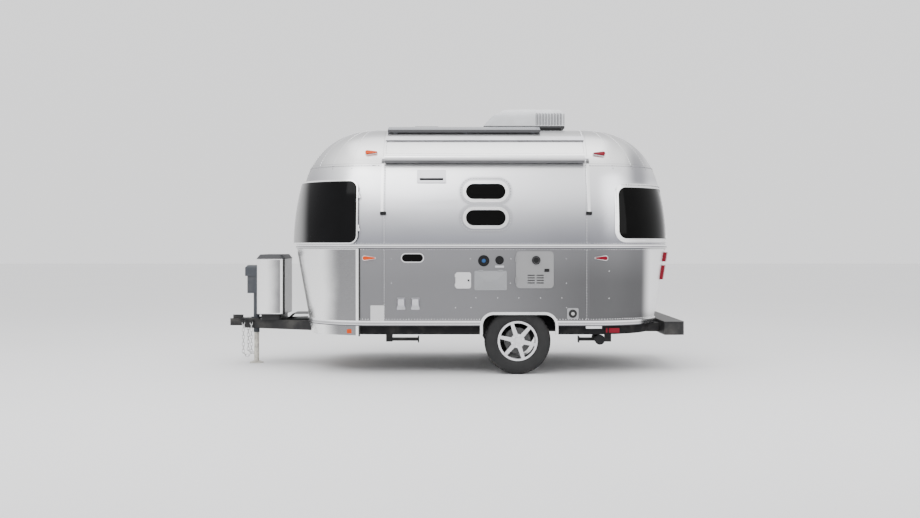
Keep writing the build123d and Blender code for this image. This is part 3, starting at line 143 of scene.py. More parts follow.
class Paint:
    """One material, written as expressions on the piece's own coordinates."""

    def __init__(self, name):
        self.material = bpy.data.materials.new(name)
        self.material.use_nodes = True
        self.tree = self.material.node_tree
        self.tree.nodes.clear()
        self.place = self.node("TexCoord", {}, {}, 3)
        self.x, self.y, self.z = (self.node("SeparateXYZ", {}, {0: self.place}, axis) for axis in range(3))

    def node(self, kind, settings, sockets, out=0):
        """A node of one kind: its settings, then the values or links of its sockets."""
        made = self.tree.nodes.new("ShaderNode" + kind)
        for key, setting in settings.items():
            setattr(made, key, setting)
        for key, given in sockets.items():
            if isinstance(given, Value):
                self.tree.links.new(given.socket, made.inputs[key])
            else:
                made.inputs[key].default_value = given
        return Value(self, made.outputs[out] if made.outputs else None)

    def noise(self, scale, detail=3.0, stretch=(1, 1, 1)):
        """Cloudy pattern between 0 and 1."""
        turned = self.node("Mapping", {}, {"Vector": self.place, "Scale": stretch})
        return self.node("TexNoise", {}, {"Vector": turned, "Scale": scale, "Detail": detail})

    def mix(self, share, first, second):
        """A colour between two."""
        first, second = (colour if isinstance(colour, Value) else (*colour, 1) for colour in (first, second))
        return self.node("Mix", {"data_type": "RGBA"}, {0: share, 6: first, 7: second}, 2)

    def layers(self, tone, *coats):
        """Colours laid one over the other, each by its own share."""
        for share, colour in coats:
            tone = self.mix(share, tone, colour)
        return tone

    def from_point(self, x, z):
        """Distance from a point in side view."""
        return span(self.x - x, self.z - z)

    def from_slots(self):
        """Distance outside the frames of the two slot windows in side view."""
        across = (abs(self.x - SLOT_X) - SLOT_STRAIGHT).highest(0.0)
        return span(across, abs(abs(self.z - SLOT_Z) - SLOT_APART)) - SLOT_R

    def finish(self, tone, roughness, metallic=0.0, height=None, depth=0.001, specular=0.5):
        """The finished material."""
        sockets = {
            "Base Color": tone,
            "Roughness": roughness,
            "Metallic": metallic,
            "Specular IOR Level": specular,
        }
        if height is not None:
            sockets["Normal"] = self.node("Bump", {}, {"Distance": depth, "Height": height})
        surface = self.node("BsdfPrincipled", {}, sockets)
        self.node("OutputMaterial", {}, {"Surface": surface})
        return self.material


def metal(name, colour, roughness, grain=(1, 1, 1)):
    """Plain metal with faint brushing and smudges."""
    paint = Paint(name)
    brush = paint.noise(90, 4, grain)
    smudge = paint.noise(3.5, 5)
    tone = paint.mix(smudge.step(0.35, 0.7), colour, [channel * 0.86 for channel in colour])
    return paint.finish(tone, smudge * 0.12 + brush * 0.08 + roughness, 1.0, brush * 0.03, 0.01)


def coated(name, colour, roughness, dust=(0.2, 0.19, 0.17), dusting=0.2, grain=0.15, specular=0.5):
    """Paint or moulded plastic with fine texture, and dust in its hollows."""
    paint = Paint(name)
    cloud = paint.noise(7, 6)
    fleck = paint.noise(420, 2)
    tone = paint.mix(cloud.step(0.45, 0.8) * dusting, colour, dust)
    return paint.finish(tone, cloud * 0.2 + roughness, 0.0, fleck * grain + cloud * grain, 0.001, specular)


def upper_painted_reflections(paint, soft, wavy):
    """Sheets above the belt, in painted reflections: bright along the shoulder, greyer towards the belt, the
    roof and both ends, with painted shadow round the slot windows' frames.
    """
    rise = wavy.step(1.25, 2.02)
    shoulder = wavy.step(1.9, 2.05)
    along = paint.x + soft * 0.2
    rear_wall = paint.x.step(0.3, 1.3) * (1 - rise)
    rear_corner = paint.x.near(1.99, 0.02, 0.17) * wavy.step(1.85, 2.0) * (1 - wavy.step(2.2, 2.5))
    nose = (1 - along.step(-1.42, -0.90)) * shoulder
    tail = along.step(1.75, 2.2) * shoulder
    street_side = 1 - paint.y.step(-0.1, 0.1)
    # Painted shadow round the frames of the slot windows, on the street side
    slot_frame_shadow = (1 - paint.from_slots().step(0.0, 0.035)) * street_side
    return paint.layers(
        paint.mix(rise, (0.26, 0.265, 0.295), (0.84, 0.845, 0.87)),
        (wavy.step(2.0, 2.25), (0.97, 0.97, 0.97)),
        (wavy.step(2.2, 2.56) * 0.8, (0.34, 0.34, 0.355)),
        (rear_wall * 0.45, (0.15, 0.15, 0.165)),
        (rear_corner * 0.85, (0.2, 0.2, 0.22)),
        (nose * 0.85, (0.26, 0.26, 0.28)),
        (tail * 0.5, (0.30, 0.30, 0.32)),
        (slot_frame_shadow * 0.55, (0.28, 0.28, 0.30)),
    )


def lower_painted_reflections(paint, wavy):
    """Sheets below the belt, in painted reflections: grey and darker to the rear, with a bright band at both
    ends.
    """
    return paint.layers(
        paint.mix(paint.x.step(0.2, 1.7), (0.20, 0.20, 0.208), (0.105, 0.105, 0.108)),
        (wavy.step(0.9, 1.35) * 0.3, (0.30, 0.30, 0.315)),
        (paint.x.step(2.0, 2.13), (0.95, 0.95, 0.96)),
        (1 - paint.x.step(-1.6, -1.3), (0.7, 0.7, 0.7)),
    )


def shell_metal():
    """Aluminium sheets with painted reflections, bright above and darker below the belt, where they are also
    rougher, with lapped seams and slow waves.
    """
    paint = Paint("aluminium_shell")
    soft = paint.noise(1.3, 2, (0.6, 0.6, 1.4))
    grain = paint.noise(60, 4, (0.3, 0.3, 3))
    wavy = paint.z + soft * 0.12 - 0.06
    lower = 1 - paint.z.step(BELT_Z - 0.015, BELT_Z)
    seam = abs(paint.x - FRONT_SEAM_X).lowest(abs(paint.x - REAR_SEAM_X))
    seam = seam.lowest(abs(paint.z - SHOULDER_SEAM_Z))
    tone = paint.layers(
        upper_painted_reflections(paint, soft, wavy),
        (lower, lower_painted_reflections(paint, wavy)),
        (seam.near(0.014, 0.0008, 0.003) * 0.55, (0.16, 0.16, 0.17)),
    )
    height = soft * 0.5 + grain * 0.004 + (1 - seam.step(0.012, 0.016)) * 0.06
    return paint.finish(tone, soft * 0.12 + grain * 0.1 + 0.2 + lower * 0.08, 0.92, height, 0.012)


def steel_paint(name, light_x, dark_x, low, high, rear_x):
    """Brushed sheet with a painted reflection running from bright at the front to grey, painted highlights
    along its top and bottom edges and near its rear edge, and a dark strip at the rear edge itself.
    """
    paint = Paint(name)
    brush = paint.noise(80, 4, (0.3, 0.3, 4))
    cloud = paint.noise(3, 3)
    # Painted reflection from bright at the front to grey behind
    reflection_fade = (paint.x + cloud * 0.08 - 0.04).step(light_x, dark_x)
    lower_edge = 1 - (paint.z - low).step(0.008, 0.012)
    upper_edge = (paint.z - high).step(-0.012, -0.008)
    tone = paint.layers(
        paint.mix(reflection_fade, (0.98, 0.98, 0.98), (0.24, 0.24, 0.245)),
        (lower_edge.highest(upper_edge), (0.9, 0.9, 0.9)),
        (paint.x.step(rear_x - 0.046, rear_x - 0.042), (0.95, 0.95, 0.95)),
        (paint.x.step(rear_x - 0.019, rear_x - 0.015), (0.05, 0.05, 0.05)),
    )
    return paint.finish(tone, brush * 0.12 + 0.2, 0.95, brush * 0.1 + cloud * 0.3, 0.004)


def rail_paint():
    """Bright double trim, with painted shade where the mouldings meet and along their lower edges, and a
    grey band of painted shade along the middle of the rub rail.
    """
    paint = Paint("double_trim")
    brush = paint.noise(80, 3, (0.2, 3, 3))
    # Painted shade along the lower edges of both rails and where the belt rail's mouldings meet
    under = (1 - paint.z.step(0.508, 0.513)).highest(paint.z.near(1.296, 0.003, 0.005))
    grooves = paint.z.near(1.311, 0.003, 0.005).highest(under)
    tone = paint.layers(
        paint.mix(grooves, (0.93, 0.93, 0.94), (0.10, 0.10, 0.11)),
        (paint.z.near(0.526, 0.009, 0.012) * 0.7, (0.26, 0.26, 0.27)),
    )
    return paint.finish(tone, brush * 0.1 + 0.16, 0.95, brush * 0.05, 0.002)


def guard_paint():
    """Smoked panel with a bright band along its edges, and a painted pale reflection where it turns forward.
    """
    paint = Paint("smoked_panel")
    low, high = 1.338, 2.005
    rear_x = -0.931
    corner = 0.092
    inner_y = 0.399
    side = abs(paint.y)
    reach_z = abs(paint.z - (low + high) / 2) - (high - low) / 2
    out_x = (paint.x - rear_x + corner).highest(0.0)
    out_z = (reach_z + corner).highest(0.0)
    inner_edge = abs(side - inner_y) * -1 + 0.007
    edge = (span(out_x, out_z) - corner).highest(reach_z).highest(inner_edge)
    band = edge.step(-0.016, -0.013)
    cloud = paint.noise(3, 4)
    # Painted pale reflection where the side guards turn forward
    sheen = (1 - paint.x.step(-1.64, -1.46)) * side.step(0.41, 0.47)
    tone = paint.layers(
        paint.mix(cloud, (0.002, 0.002, 0.002), (0.006, 0.006, 0.007)),
        (sheen * 0.45, (0.6, 0.6, 0.6)),
        (band, (0.96, 0.96, 0.96)),
    )
    rough = cloud * 0.08 + 0.06 + band * 0.15
    return paint.finish(tone, rough, band * 0.95, cloud * 0.05, 0.002, 0.07)


def glass_paint():
    """Nearly black panes with a faint film."""
    paint = Paint("dark_glass")
    film = paint.noise(5, 4)
    tone = paint.mix(film, (0.001, 0.001, 0.001), (0.003, 0.003, 0.003))
    return paint.finish(tone, film * 0.05 + 0.04, 0.0, film * 0.02, 0.001, 0.06)


def awning_paint():
    """Tube lit white on top, with a band of painted shade along its lower side; the door side's tube hangs
    higher.
    """
    paint = Paint("awning_tube")
    height = paint.z - paint.y.step(-0.1, 0.1) * 0.104
    brush = paint.noise(60, 3, (0.2, 3, 3))
    # Painted shade along the lower side of the tube
    under = (1 - height.step(2.19, 2.232)) * height.step(2.17, 2.175)
    tone = paint.mix(under, (0.97, 0.97, 0.98), (0.14, 0.14, 0.145))
    return paint.finish(tone, brush * 0.1 + 0.25, 0.85, brush * 0.05, 0.002)


def solar_paint():
    """Dark cells between fine pale lines, in an anodised edge."""
    paint = Paint("solar_cells")
    cell_w, panel_y = 0.156, 0.535
    across = abs((paint.x / cell_w) % 1.0 - 0.5)
    along = abs((paint.y / cell_w) % 1.0 - 0.5)
    grid = across.highest(along).step(0.475, 0.49)
    sheen = paint.noise(12, 3)
    rim = abs(abs(paint.y) - panel_y).step(0.150, 0.155)
    tone = paint.layers(
        paint.mix(sheen, (0.008, 0.012, 0.03), (0.014, 0.02, 0.05)),
        (grid * 0.7, (0.25, 0.26, 0.28)),
        (rim, (0.05, 0.05, 0.055)),
    )
    return paint.finish(tone, sheen * 0.1 + 0.15, 0.0, grid * 0.2, 0.0008)


def rim_paint():
    """Machined faces on the outside, with fine turning marks, and dark paint in the pockets."""
    paint = Paint("machined_rim")
    centred = paint.node("Mapping", {}, {"Vector": paint.place, "Location": (-AXLE_X, 0, -TYRE_R)})
    turning = paint.node("TexWave", {"wave_type": "RINGS", "rings_direction": "Y"},
                         {"Vector": centred, "Scale": 120.0, "Distortion": 0.4})
    side = abs(paint.y)
    lip = paint.from_point(AXLE_X, TYRE_R).step(0.183, 0.185) * side.step(1.150, 1.156)
    machined = side.step(1.1565, 1.1590).highest(lip)
    grime = paint.noise(20, 4)
    dark = paint.mix(grime, (0.02, 0.02, 0.022), (0.05, 0.05, 0.05))
    tone = paint.mix(machined, dark, paint.mix(grime, (0.80, 0.80, 0.82), (0.62, 0.62, 0.64)))
    return paint.finish(tone, grime * 0.1 + 0.22, machined * 0.9 + 0.05, turning * machined * 0.15, 0.0006)


def tyre_paint():
    """Black rubber with rings on its walls and dust on its tread."""
    paint = Paint("tyre_rubber")
    radius = paint.from_point(AXLE_X, TYRE_R)
    worn = paint.noise(9, 5)
    dust = worn.step(0.45, 0.75) * radius.step(0.31, 0.34)
    rings = (radius * 160).floor() % 2.0
    tone = paint.layers(
        paint.mix(worn, (0.012, 0.012, 0.013), (0.028, 0.028, 0.028)),
        (dust * 0.55, (0.12, 0.11, 0.10)),
    )
    return paint.finish(tone, worn * 0.2 + 0.62, 0.0, rings * 0.1 + paint.noise(200, 2) * 0.4, 0.0006, 0.25)


def cooler_paint():
    """White housing with upright slats at its rear, over a black base."""
    paint = Paint("cooler_housing")
    slat_pitch = 0.0324
    cloud = paint.noise(5, 5)
    grille = paint.x.step(0.94, 0.95) * paint.z.near(2.71, 0.062, 0.066)
    slats = abs((paint.x / slat_pitch) % 1.0 - 0.5).step(0.12, 0.2)
    tone = paint.layers(
        paint.mix(cloud.step(0.4, 0.8), (0.66, 0.67, 0.69), (0.56, 0.57, 0.58)),
        (grille * slats * 0.7, (0.18, 0.18, 0.19)),
        (1 - paint.z.step(2.636, 2.64), (0.015, 0.015, 0.016)),
    )
    return paint.finish(tone, cloud * 0.15 + 0.35, 0.0, paint.noise(300, 2) * 0.1, 0.0006)


def jack_paint():
    """Pale tube and foot of the jack, greyer and scuffed towards the ground."""
    paint = Paint("jack_tube")
    scuff = paint.noise(30, 5)
    tone = paint.layers(
        paint.mix(scuff.step(0.4, 0.7), (0.62, 0.60, 0.53), (0.42, 0.40, 0.36)),
        ((1 - paint.z.step(0.0, 0.12)) * 0.4, (0.5, 0.48, 0.45)),
    )
    return paint.finish(tone, scuff * 0.2 + 0.35, 0.15, scuff * 0.3, 0.0008)


def inlet_paint():
    """Black fittings: a blue centre in the water inlet, and a pale plate round the square socket's cap."""
    paint = Paint("inlet_plastic")
    fleck = paint.noise(200, 2)
    water = 1 - paint.from_point(0.36, 1.168).step(0.018, 0.022)
    cap = paint.from_point(1.272, 0.626)
    socket = paint.layers(
        paint.mix(cap.step(0.042, 0.044), (0.02, 0.02, 0.02), (0.30, 0.30, 0.31)),
        (1 - cap.step(0.016, 0.018), (0.4, 0.4, 0.4)),
    )
    tone = paint.layers(
        paint.mix(water, (0.008, 0.008, 0.009), (0.02, 0.08, 0.22)),
        (paint.x.step(1.20, 1.205), socket),
    )
    return paint.finish(tone, fleck * 0.2 + 0.35, 0.0, fleck * 0.2, 0.0005, 0.2)


def wood_paint():
    """Grained boards of the floor."""
    paint = Paint("deck_board")
    figure = paint.noise(6, 6, (0.2, 2.5, 1))
    tone = paint.mix(figure, (0.30, 0.20, 0.12), (0.48, 0.36, 0.24))
    return paint.finish(tone, figure * 0.2 + 0.45, 0.0, figure * 0.3, 0.001)


def lens_paint(name, deep, light):
    """Moulded lens with upright flutes."""
    paint = Paint(name)
    flute = abs((paint.x / 0.009) % 1.0 - 0.5)
    tone = paint.mix(flute * 1.4, deep, light)
    return paint.finish(tone, flute * 0.1 + 0.2, 0.0, flute, 0.001, 0.2)


def rivet_paint():
    """Rivets: bright, with painted shade making them grey along the bright upper wall, where bright ones
    wouldn't show.
    """
    paint = Paint("rivet_metal")
    shaded_rivet_band = paint.z.step(1.55, 1.95) * (1 - paint.z.step(2.16, 2.18))
    tone = paint.mix(shaded_rivet_band, (0.92, 0.92, 0.93), (0.20, 0.20, 0.21))
    return paint.finish(tone, paint.noise(8, 2) * 0.1 + 0.2, 0.9)


bright = metal("bright_trim", (0.86, 0.86, 0.87), 0.16, (0.2, 3, 3))
satin = metal("satin_aluminium", (0.62, 0.62, 0.65), 0.3, (0.2, 3, 3))
rivet_metal = rivet_paint()
zinc = metal("plated_steel", (0.6, 0.6, 0.6), 0.35)
black_paint = coated("black_paint", (0.012, 0.012, 0.013), 0.38, specular=0.3)
pan_coat = coated("underseal", (0.007, 0.007, 0.008), 0.7, dusting=0.12, grain=0.6, specular=0.2)
black_plastic = coated("black_plastic", (0.008, 0.008, 0.009), 0.45, dusting=0.04, specular=0.2)
slate_plastic = coated("slate_plastic", (0.035, 0.04, 0.05), 0.42)
charcoal_lid = coated("charcoal_lid", (0.035, 0.036, 0.04), 0.5)
white_plastic = coated("white_plastic", (0.54, 0.54, 0.55), 0.35, (0.4, 0.39, 0.36), 0.25)
pale_plastic = coated("pale_plastic", (0.225, 0.225, 0.23), 0.35, (0.18, 0.18, 0.17), 0.25)
grey_plastic = coated("grey_plastic", (0.235, 0.24, 0.25), 0.38)
amber_lens = lens_paint("amber_lens", (0.30, 0.018, 0.0), (0.58, 0.055, 0.0))
red_lens = lens_paint("red_lens", (0.12, 0.001, 0.007), (0.27, 0.005, 0.024))
glass = glass_paint()
tyre_rubber = tyre_paint()

FINISHES = {
    shell_metal(): ["upper_mid", "front_cap", "rear_cap", "nose_lower", "tail_lower", "side_lower_left",
                    "side_lower_right", "entry_door"],
    bright: ["arch_trims", "window_frames", "guard_brackets", "door_hinges"],
    rail_paint(): ["belt_rail", "rub_rail"],
    satin: ["roof_gutters", "vent_covers"],
    awning_paint(): ["awnings"],
    steel_paint("brushed_guard", -1.33, -1.12, 0.392, 1.293, -0.908): ["lower_guards"],
    steel_paint("brushed_cover", -2.02, -1.86, 0.568, 1.173, -1.819): ["gas_cover"],
    zinc: ["safety_chains"],
    black_paint: ["main_rails", "tongue_rails", "coupler", "axle_beam", "rear_bumper", "gas_tray",
                  "stabiliser_brackets", "stabiliser_front_left", "stabiliser_front_right",
                  "stabiliser_rear_left", "stabiliser_rear_right", "step_carrier", "entry_step"],
    pan_coat: ["belly_pan", "wheel_boxes"],
    black_plastic: ["waste_outlet"],
    slate_plastic: ["jack_post"],
    jack_paint(): ["jack_leg"],
    charcoal_lid: ["gas_lid"],
    white_plastic: ["small_hatch", "vent_base"],
    pale_plastic: ["heater_door"],
    grey_plastic: ["cord_hatch", "vent_lid"],
    cooler_paint(): ["air_conditioner"],
    solar_paint(): ["solar_panels"],
    glass: ["end_glass", "side_glass", "door_glass"],
    guard_paint(): ["stone_guard_left", "stone_guard_right", "stone_guard_centre"],
    rim_paint(): ["wheel_left", "wheel_right"],
    inlet_paint(): ["inlets"],
    wood_paint(): ["floor_deck"],
    red_lens: ["tail_lamps"],
}
for material, names in FINISHES.items():
    for name in names:
        nodes[name].data.materials.clear()
        nodes[name].data.materials.append(material)


# Shape helpers
def piece(bm, name, materials, body, smooth=False):
    """A finished bmesh as a named object that rides on a body."""
    mesh = bpy.data.meshes.new(name)
    bm.to_mesh(mesh)
    bm.free()
    for face in mesh.polygons:
        face.use_smooth = smooth
    made = bpy.data.objects.new(name, mesh)
    bpy.context.scene.collection.objects.link(made)
    for material in materials:
        mesh.materials.append(material)
    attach(made, body)
    return made


def skin_tree(names):
    """The faces of some solids, for rays to meet."""
    points = []
    faces = []
    for name in names:
        start = len(points)
        points += [vertex.co.copy() for vertex in nodes[name].data.vertices]
        faces += [[start + corner for corner in face.vertices] for face in nodes[name].data.polygons]
    return BVHTree.FromPolygons(points, faces)


fixed_skin = skin_tree(["upper_mid", "front_cap", "rear_cap", "nose_lower", "tail_lower",
                        "side_lower_left", "side_lower_right"])
door_skin = skin_tree(["entry_door"])
frame_skin = skin_tree(["window_frames"])


# Rivets
RIVET_R = 0.0066
RIVET_H = 0.0038
RIVET_SUNK = 0.0006
RIVET_PITCH = 0.029
FRAME_PITCH = 0.02
RIVET_OFF_SEAM = 0.008

# Rays that find the skin: the step between two, and how far one may go
RAY_STEP = 0.004
FAR = 4.0

# Heights of the rows round the wall, and of those on the frames of the end windows
WALL_ROWS = (1.283, 1.346, 0.568)
FRAME_ROWS = (1.371, 1.953)

# Upright rows on the end windows' frames: their x, their lowest ray and how many rays go up
FRAME_COLUMNS = (-1.03, 1.73)
COLUMN_LOW_Z = 1.40
COLUMN_RAYS = 132

# Seams of an end cap: how many to each quarter, degrees between them and the height of their centre
GORES = 5
GORE_TURN = 18
GORE_Z = 1.83

# Window frames with rivets round them: low x, high x, low z, high z, side
FRAME_OUTLINES = [
    (0.125, 0.639, 1.476, 1.742, -1),
    (0.125, 0.639, 1.748, 2.014, -1),
    (0.36, 1.22, 1.37, 2.01, 1),
]
FRAME_CORNER = 0.12

# Rivets that stand alone on the lower street side: x, z
SINGLE_RIVETS = [
    (-0.585, 1.188), (-0.585, 0.939), (0.223, 1.188), (0.638, 1.188), (0.634, 0.939), (1.208, 1.188),
    (1.208, 0.939), (1.648, 1.062), (1.648, 0.783), (0.280, 0.787), (0.503, 0.787), (0.720, 0.787),
    (0.943, 0.787), (1.161, 0.787), (0.072, 0.688), (0.230, 0.688), (1.208, 0.688)]


def rivet_row(bm, tree, rays, pitch=RIVET_PITCH):
    """Rivets an even pitch apart where a line of rays meets the skin. A lone ray has a pitch of 0."""
    left = pitch / 2
    last = None
    for origin, direction in rays:
        hit, normal, _, distance = tree.ray_cast(origin, direction)
        if hit is None or distance > FAR:
            last = None
            continue
        if normal.dot(direction) > 0:
            normal = -normal
        if last is not None:
            gap = (hit - last).length
            if gap > 4 * pitch:
                last = hit
                continue
            left -= gap
        last = hit
        if left > 0:
            continue
        left += pitch
        turn = normal.to_track_quat("Z", "Y").to_matrix().to_4x4()
        place = Matrix.Translation(hit + normal * (RIVET_H / 2 - RIVET_SUNK)) @ turn
        bmesh.ops.create_cone(bm, cap_ends=True, segments=6, radius1=RIVET_R, radius2=RIVET_R * 0.5,
                              depth=RIVET_H, matrix=place)


def level_ray(x, z, side):
    """A ray along Y from outside one side, towards the wall."""
    return Vector((x, side * 2, z)), Vector((0, -side, 0))


def plan_rays(z, low_x=-FAR, high_x=FAR):
    """Level rays that go once round the body at height z."""
    rays = []
    for side in (-1, 1):
        for index in range(int((REAR_AXIS_X - FRONT_AXIS_X) / RAY_STEP)):
            rays.append(level_ray(FRONT_AXIS_X + index * RAY_STEP, z, side))
        for axis_x, way in ((FRONT_AXIS_X, -1), (REAR_AXIS_X, 1)):
            for index in range(360):
                angle = math.radians(index / 4)
                toward = Vector((way * math.sin(angle), side * math.cos(angle), 0))
                rays.append((Vector((axis_x, side * CORNER_Y, z)) + toward * 1.5, -toward))
            for index in range(int(CORNER_Y / RAY_STEP)):
                y = side * (CORNER_Y - index * RAY_STEP)
                rays.append((Vector((way * 3, y, z)), Vector((-way, 0, 0))))
    return [ray for ray in rays if low_x <= ray[0].x <= high_x]


def hoop_rays(x, centre_z=1.3):
    """Rays that go over the body from one side's floor to the other's, at one x."""
    rays = []
    height = SKIRT_Z
    while height < centre_z:
        rays.append(level_ray(x, height, -1))
        height += RAY_STEP
    for index in range(900):
        angle = math.radians(index / 5)
        toward = Vector((0, -math.cos(angle), math.sin(angle)))
        rays.append((Vector((x, 0, centre_z)) + toward * 2.5, -toward))
    while height > SKIRT_Z:
        rays.append(level_ray(x, height, 1))
        height -= RAY_STEP
    return rays


def gore_rays(axis_x, way, side, angle):
    """Rays along one seam of an end cap, from its foot up to the roof."""
    toward = Vector((way * math.sin(angle), side * math.cos(angle), 0))
    centre = Vector((axis_x, side * CORNER_Y, GORE_Z))
    rays = []
    for index in range(300):
        lift = math.radians(20 + index * 0.2)
        aim = toward * math.cos(lift) + Vector((0, 0, math.sin(lift)))
        rays.append((centre + aim * 1.6, -aim))
    return rays


def outline_rays(x0, x1, z0, z1, radius, side):
    """Level rays along Y, round a rounded rectangle in side view."""
    rays = []
    half_x = (x1 - x0) / 2 - radius
    half_z = (z1 - z0) / 2 - radius
    centre = Vector(((x0 + x1) / 2, side * 2, (z0 + z1) / 2))
    inward = Vector((0, -side, 0))
    quarters = ((1, 1), (-1, 1), (-1, -1), (1, -1))
    for quarter, (sx, sz) in enumerate(quarters):
        corner = Vector((sx * half_x, 0, sz * half_z))
        for index in range(46):
            angle = math.radians(90 * quarter + index * 2)
            outward = Vector((math.cos(angle), 0, math.sin(angle))) * radius
            rays.append((centre + corner + outward, inward))
        next_x, next_z = quarters[(quarter + 1) % 4]
        end = Vector((next_x * half_x, 0, next_z * half_z))
        length = (end - corner).length
        # The corner's last step points straight out of the side that follows it
        for index in range(1, int(length / RAY_STEP)):
            rays.append((centre + corner.lerp(end, index * RAY_STEP / length) + outward, inward))
    return rays


def make_rivets():
    """Rivets of the shell: rows along the seams and the belt, round the windows, and single ones."""
    bm = bmesh.new()
    for x in (FRONT_SEAM_X + RIVET_OFF_SEAM, REAR_SEAM_X - RIVET_OFF_SEAM):
        rivet_row(bm, fixed_skin, hoop_rays(x))
    for z in WALL_ROWS:
        rivet_row(bm, fixed_skin, plan_rays(z))
    z = SHOULDER_SEAM_Z - RIVET_OFF_SEAM
    rivet_row(bm, fixed_skin, plan_rays(z, -FAR, FRONT_SEAM_X) + plan_rays(z, REAR_SEAM_X, FAR))
    for x0, x1, z0, z1, side in FRAME_OUTLINES:
        rivet_row(bm, fixed_skin, outline_rays(x0, x1, z0, z1, FRAME_CORNER, side))
    for x, z in SINGLE_RIVETS:
        rivet_row(bm, fixed_skin, [level_ray(x, z, -1)], 0.0)
    for gore in range(1, GORES + 1):
        for axis_x, way in ((FRONT_AXIS_X, -1), (REAR_AXIS_X, 1)):
            for side in (-1, 1):
                rivet_row(bm, fixed_skin, gore_rays(axis_x, way, side, math.radians(gore * GORE_TURN)))
    for z in FRAME_ROWS:
        rays = plan_rays(z, -FAR, FRONT_AXIS_X) + plan_rays(z, REAR_AXIS_X, FAR)
        rivet_row(bm, frame_skin, rays, FRAME_PITCH)
    for x in FRAME_COLUMNS:
        for side in (-1, 1):
            rays = [level_ray(x, COLUMN_LOW_Z + index * RAY_STEP, side) for index in range(COLUMN_RAYS)]
            rivet_row(bm, frame_skin, rays, FRAME_PITCH)
    piece(bm, "shell_rivets", [rivet_metal], "caravan")


def make_door_rivets():
    """Rivets round the door's edge and round its window."""
    bm = bmesh.new()
    low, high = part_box("entry_door")
    inset = 0.03
    hinge_inset = 0.07
    window_inset = 0.12
    edge = outline_rays(low[0] + hinge_inset, high[0] - inset, low[2] + inset, high[2] - inset, 0.08, 1)
    rivet_row(bm, door_skin, edge)
    window = outline_rays(low[0] + window_inset, high[0] - window_inset, 1.39, 1.99, 0.11, 1)
    rivet_row(bm, door_skin, window)
    piece(bm, "door_rivets", [rivet_metal], "door")


make_rivets()
make_door_rivets()


# Tyres with grooves and blocks
TREAD_STEPS = 144
TREAD_DEPTH = 0.007
TREAD_CROWN = 0.6
GROOVES = (0.052, 0.020, -0.020, -0.052)
GROOVE_SHAPE = ((0.005, 0), (0.004, TREAD_DEPTH), (-0.004, TREAD_DEPTH), (-0.005, 0))

# Every third step is sunk, on a rib at each side of the middle and on the shoulders
NOTCH_EVERY = 3
RIB_Y = 0.036
RIB_HALF_WIDTH = 0.012
RIB_LOW_R = 0.3385
SHOULDER_Y = 0.058
SHOULDER_LOW_R = 0.325

# Wall of the tyre from bead to shoulder: radius, distance from its middle plane
TYRE_WALL = [(0.1905, 0.073), (0.2055, 0.0735), (0.214, 0.088), (0.240, 0.0985), (0.266, 0.1025),
             (0.292, 0.1005), (0.316, 0.0945), (0.332, 0.083), (0.337, 0.074)]


def notched(face):
    """Whether a face of the tread is one of those sunk between the blocks."""
    centre = face.calc_center_median()
    radius = math.hypot(centre.x, centre.z)
    out = abs(centre.y)
    turn = int(math.degrees(math.atan2(centre.z, centre.x)) * TREAD_STEPS / 360 + TREAD_STEPS)
    if (turn + (centre.y > 0)) % NOTCH_EVERY:
        return False
    on_rib = radius > RIB_LOW_R and abs(out - RIB_Y) < RIB_HALF_WIDTH
    on_shoulder = radius > SHOULDER_LOW_R and out > SHOULDER_Y
    return on_rib or on_shoulder


def make_tyre(name, side, body, node):
    """A tyre turned about its axle, with four grooves round it and notches across its ribs and shoulders."""
    tread = []
    for centre in GROOVES:
        for offset, drop in GROOVE_SHAPE:
            y = centre + offset
            tread.append((TYRE_R - TREAD_CROWN * y * y - drop, y))
    section = TYRE_WALL + tread + [(r, -y) for r, y in reversed(TYRE_WALL)]
    bm = bmesh.new()
    rim = [bm.verts.new((r, y, 0)) for r, y in section]
    edges = [bm.edges.new(pair) for pair in zip(rim, rim[1:] + rim[:1])]
    bmesh.ops.spin(bm, geom=rim + edges, cent=(0, 0, 0), axis=(0, 1, 0), angle=math.tau,
                   steps=TREAD_STEPS, use_merge=True)
    bmesh.ops.remove_doubles(bm, verts=bm.verts, dist=1e-5)
    notches = [face for face in bm.faces if notched(face)]
    bmesh.ops.inset_individual(bm, faces=notches, thickness=0.001, depth=-0.005)
    bmesh.ops.recalc_face_normals(bm, faces=bm.faces)
    bmesh.ops.transform(bm, matrix=Matrix.Translation((AXLE_X, side * WHEEL_Y, TYRE_R)), verts=bm.verts)
    made = piece(bm, name, [tyre_rubber], body, True)
    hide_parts(node)


make_tyre("tread_tyre_left", -1, "wheel_spin_left", "tyre_left")
make_tyre("tread_tyre_right", 1, "wheel_spin_right", "tyre_right")


# Wheel nuts
LUGS = 6
LUG_CIRCLE_R = 0.055
LUG_START = 78
LUG_H = 0.018
HUB_FACE = 0.0825
HUB_SUNK = 0.012
LUG_OUT = 0.008


def make_lugs(name, side, body):
    """Six lug nuts and the ring of the centre cap."""
    bm = bmesh.new()
    face_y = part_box("wheel_left" if side < 0 else "wheel_right")[0 if side < 0 else 1][1]
    lug_y = side * (WHEEL_Y + HUB_FACE - HUB_SUNK + LUG_OUT)
    outward = Matrix.Rotation(math.radians(-90 * side), 4, "X")
    for index in range(LUGS):
        angle = math.radians(LUG_START + index * 360 / LUGS)
        place = Matrix.Translation((AXLE_X + LUG_CIRCLE_R * math.cos(angle), lug_y,
                                    TYRE_R + LUG_CIRCLE_R * math.sin(angle)))
        bmesh.ops.create_cone(bm, cap_ends=True, segments=6, radius1=0.010, radius2=0.0085, depth=LUG_H,
                              matrix=place @ outward)
    cap = Matrix.Translation((AXLE_X, face_y - side * 0.0035, TYRE_R))
    bmesh.ops.create_cone(bm, cap_ends=True, segments=32, radius1=0.033, radius2=0.028, depth=0.006,
                          matrix=cap @ outward)
    piece(bm, name, [rivet_metal], body)


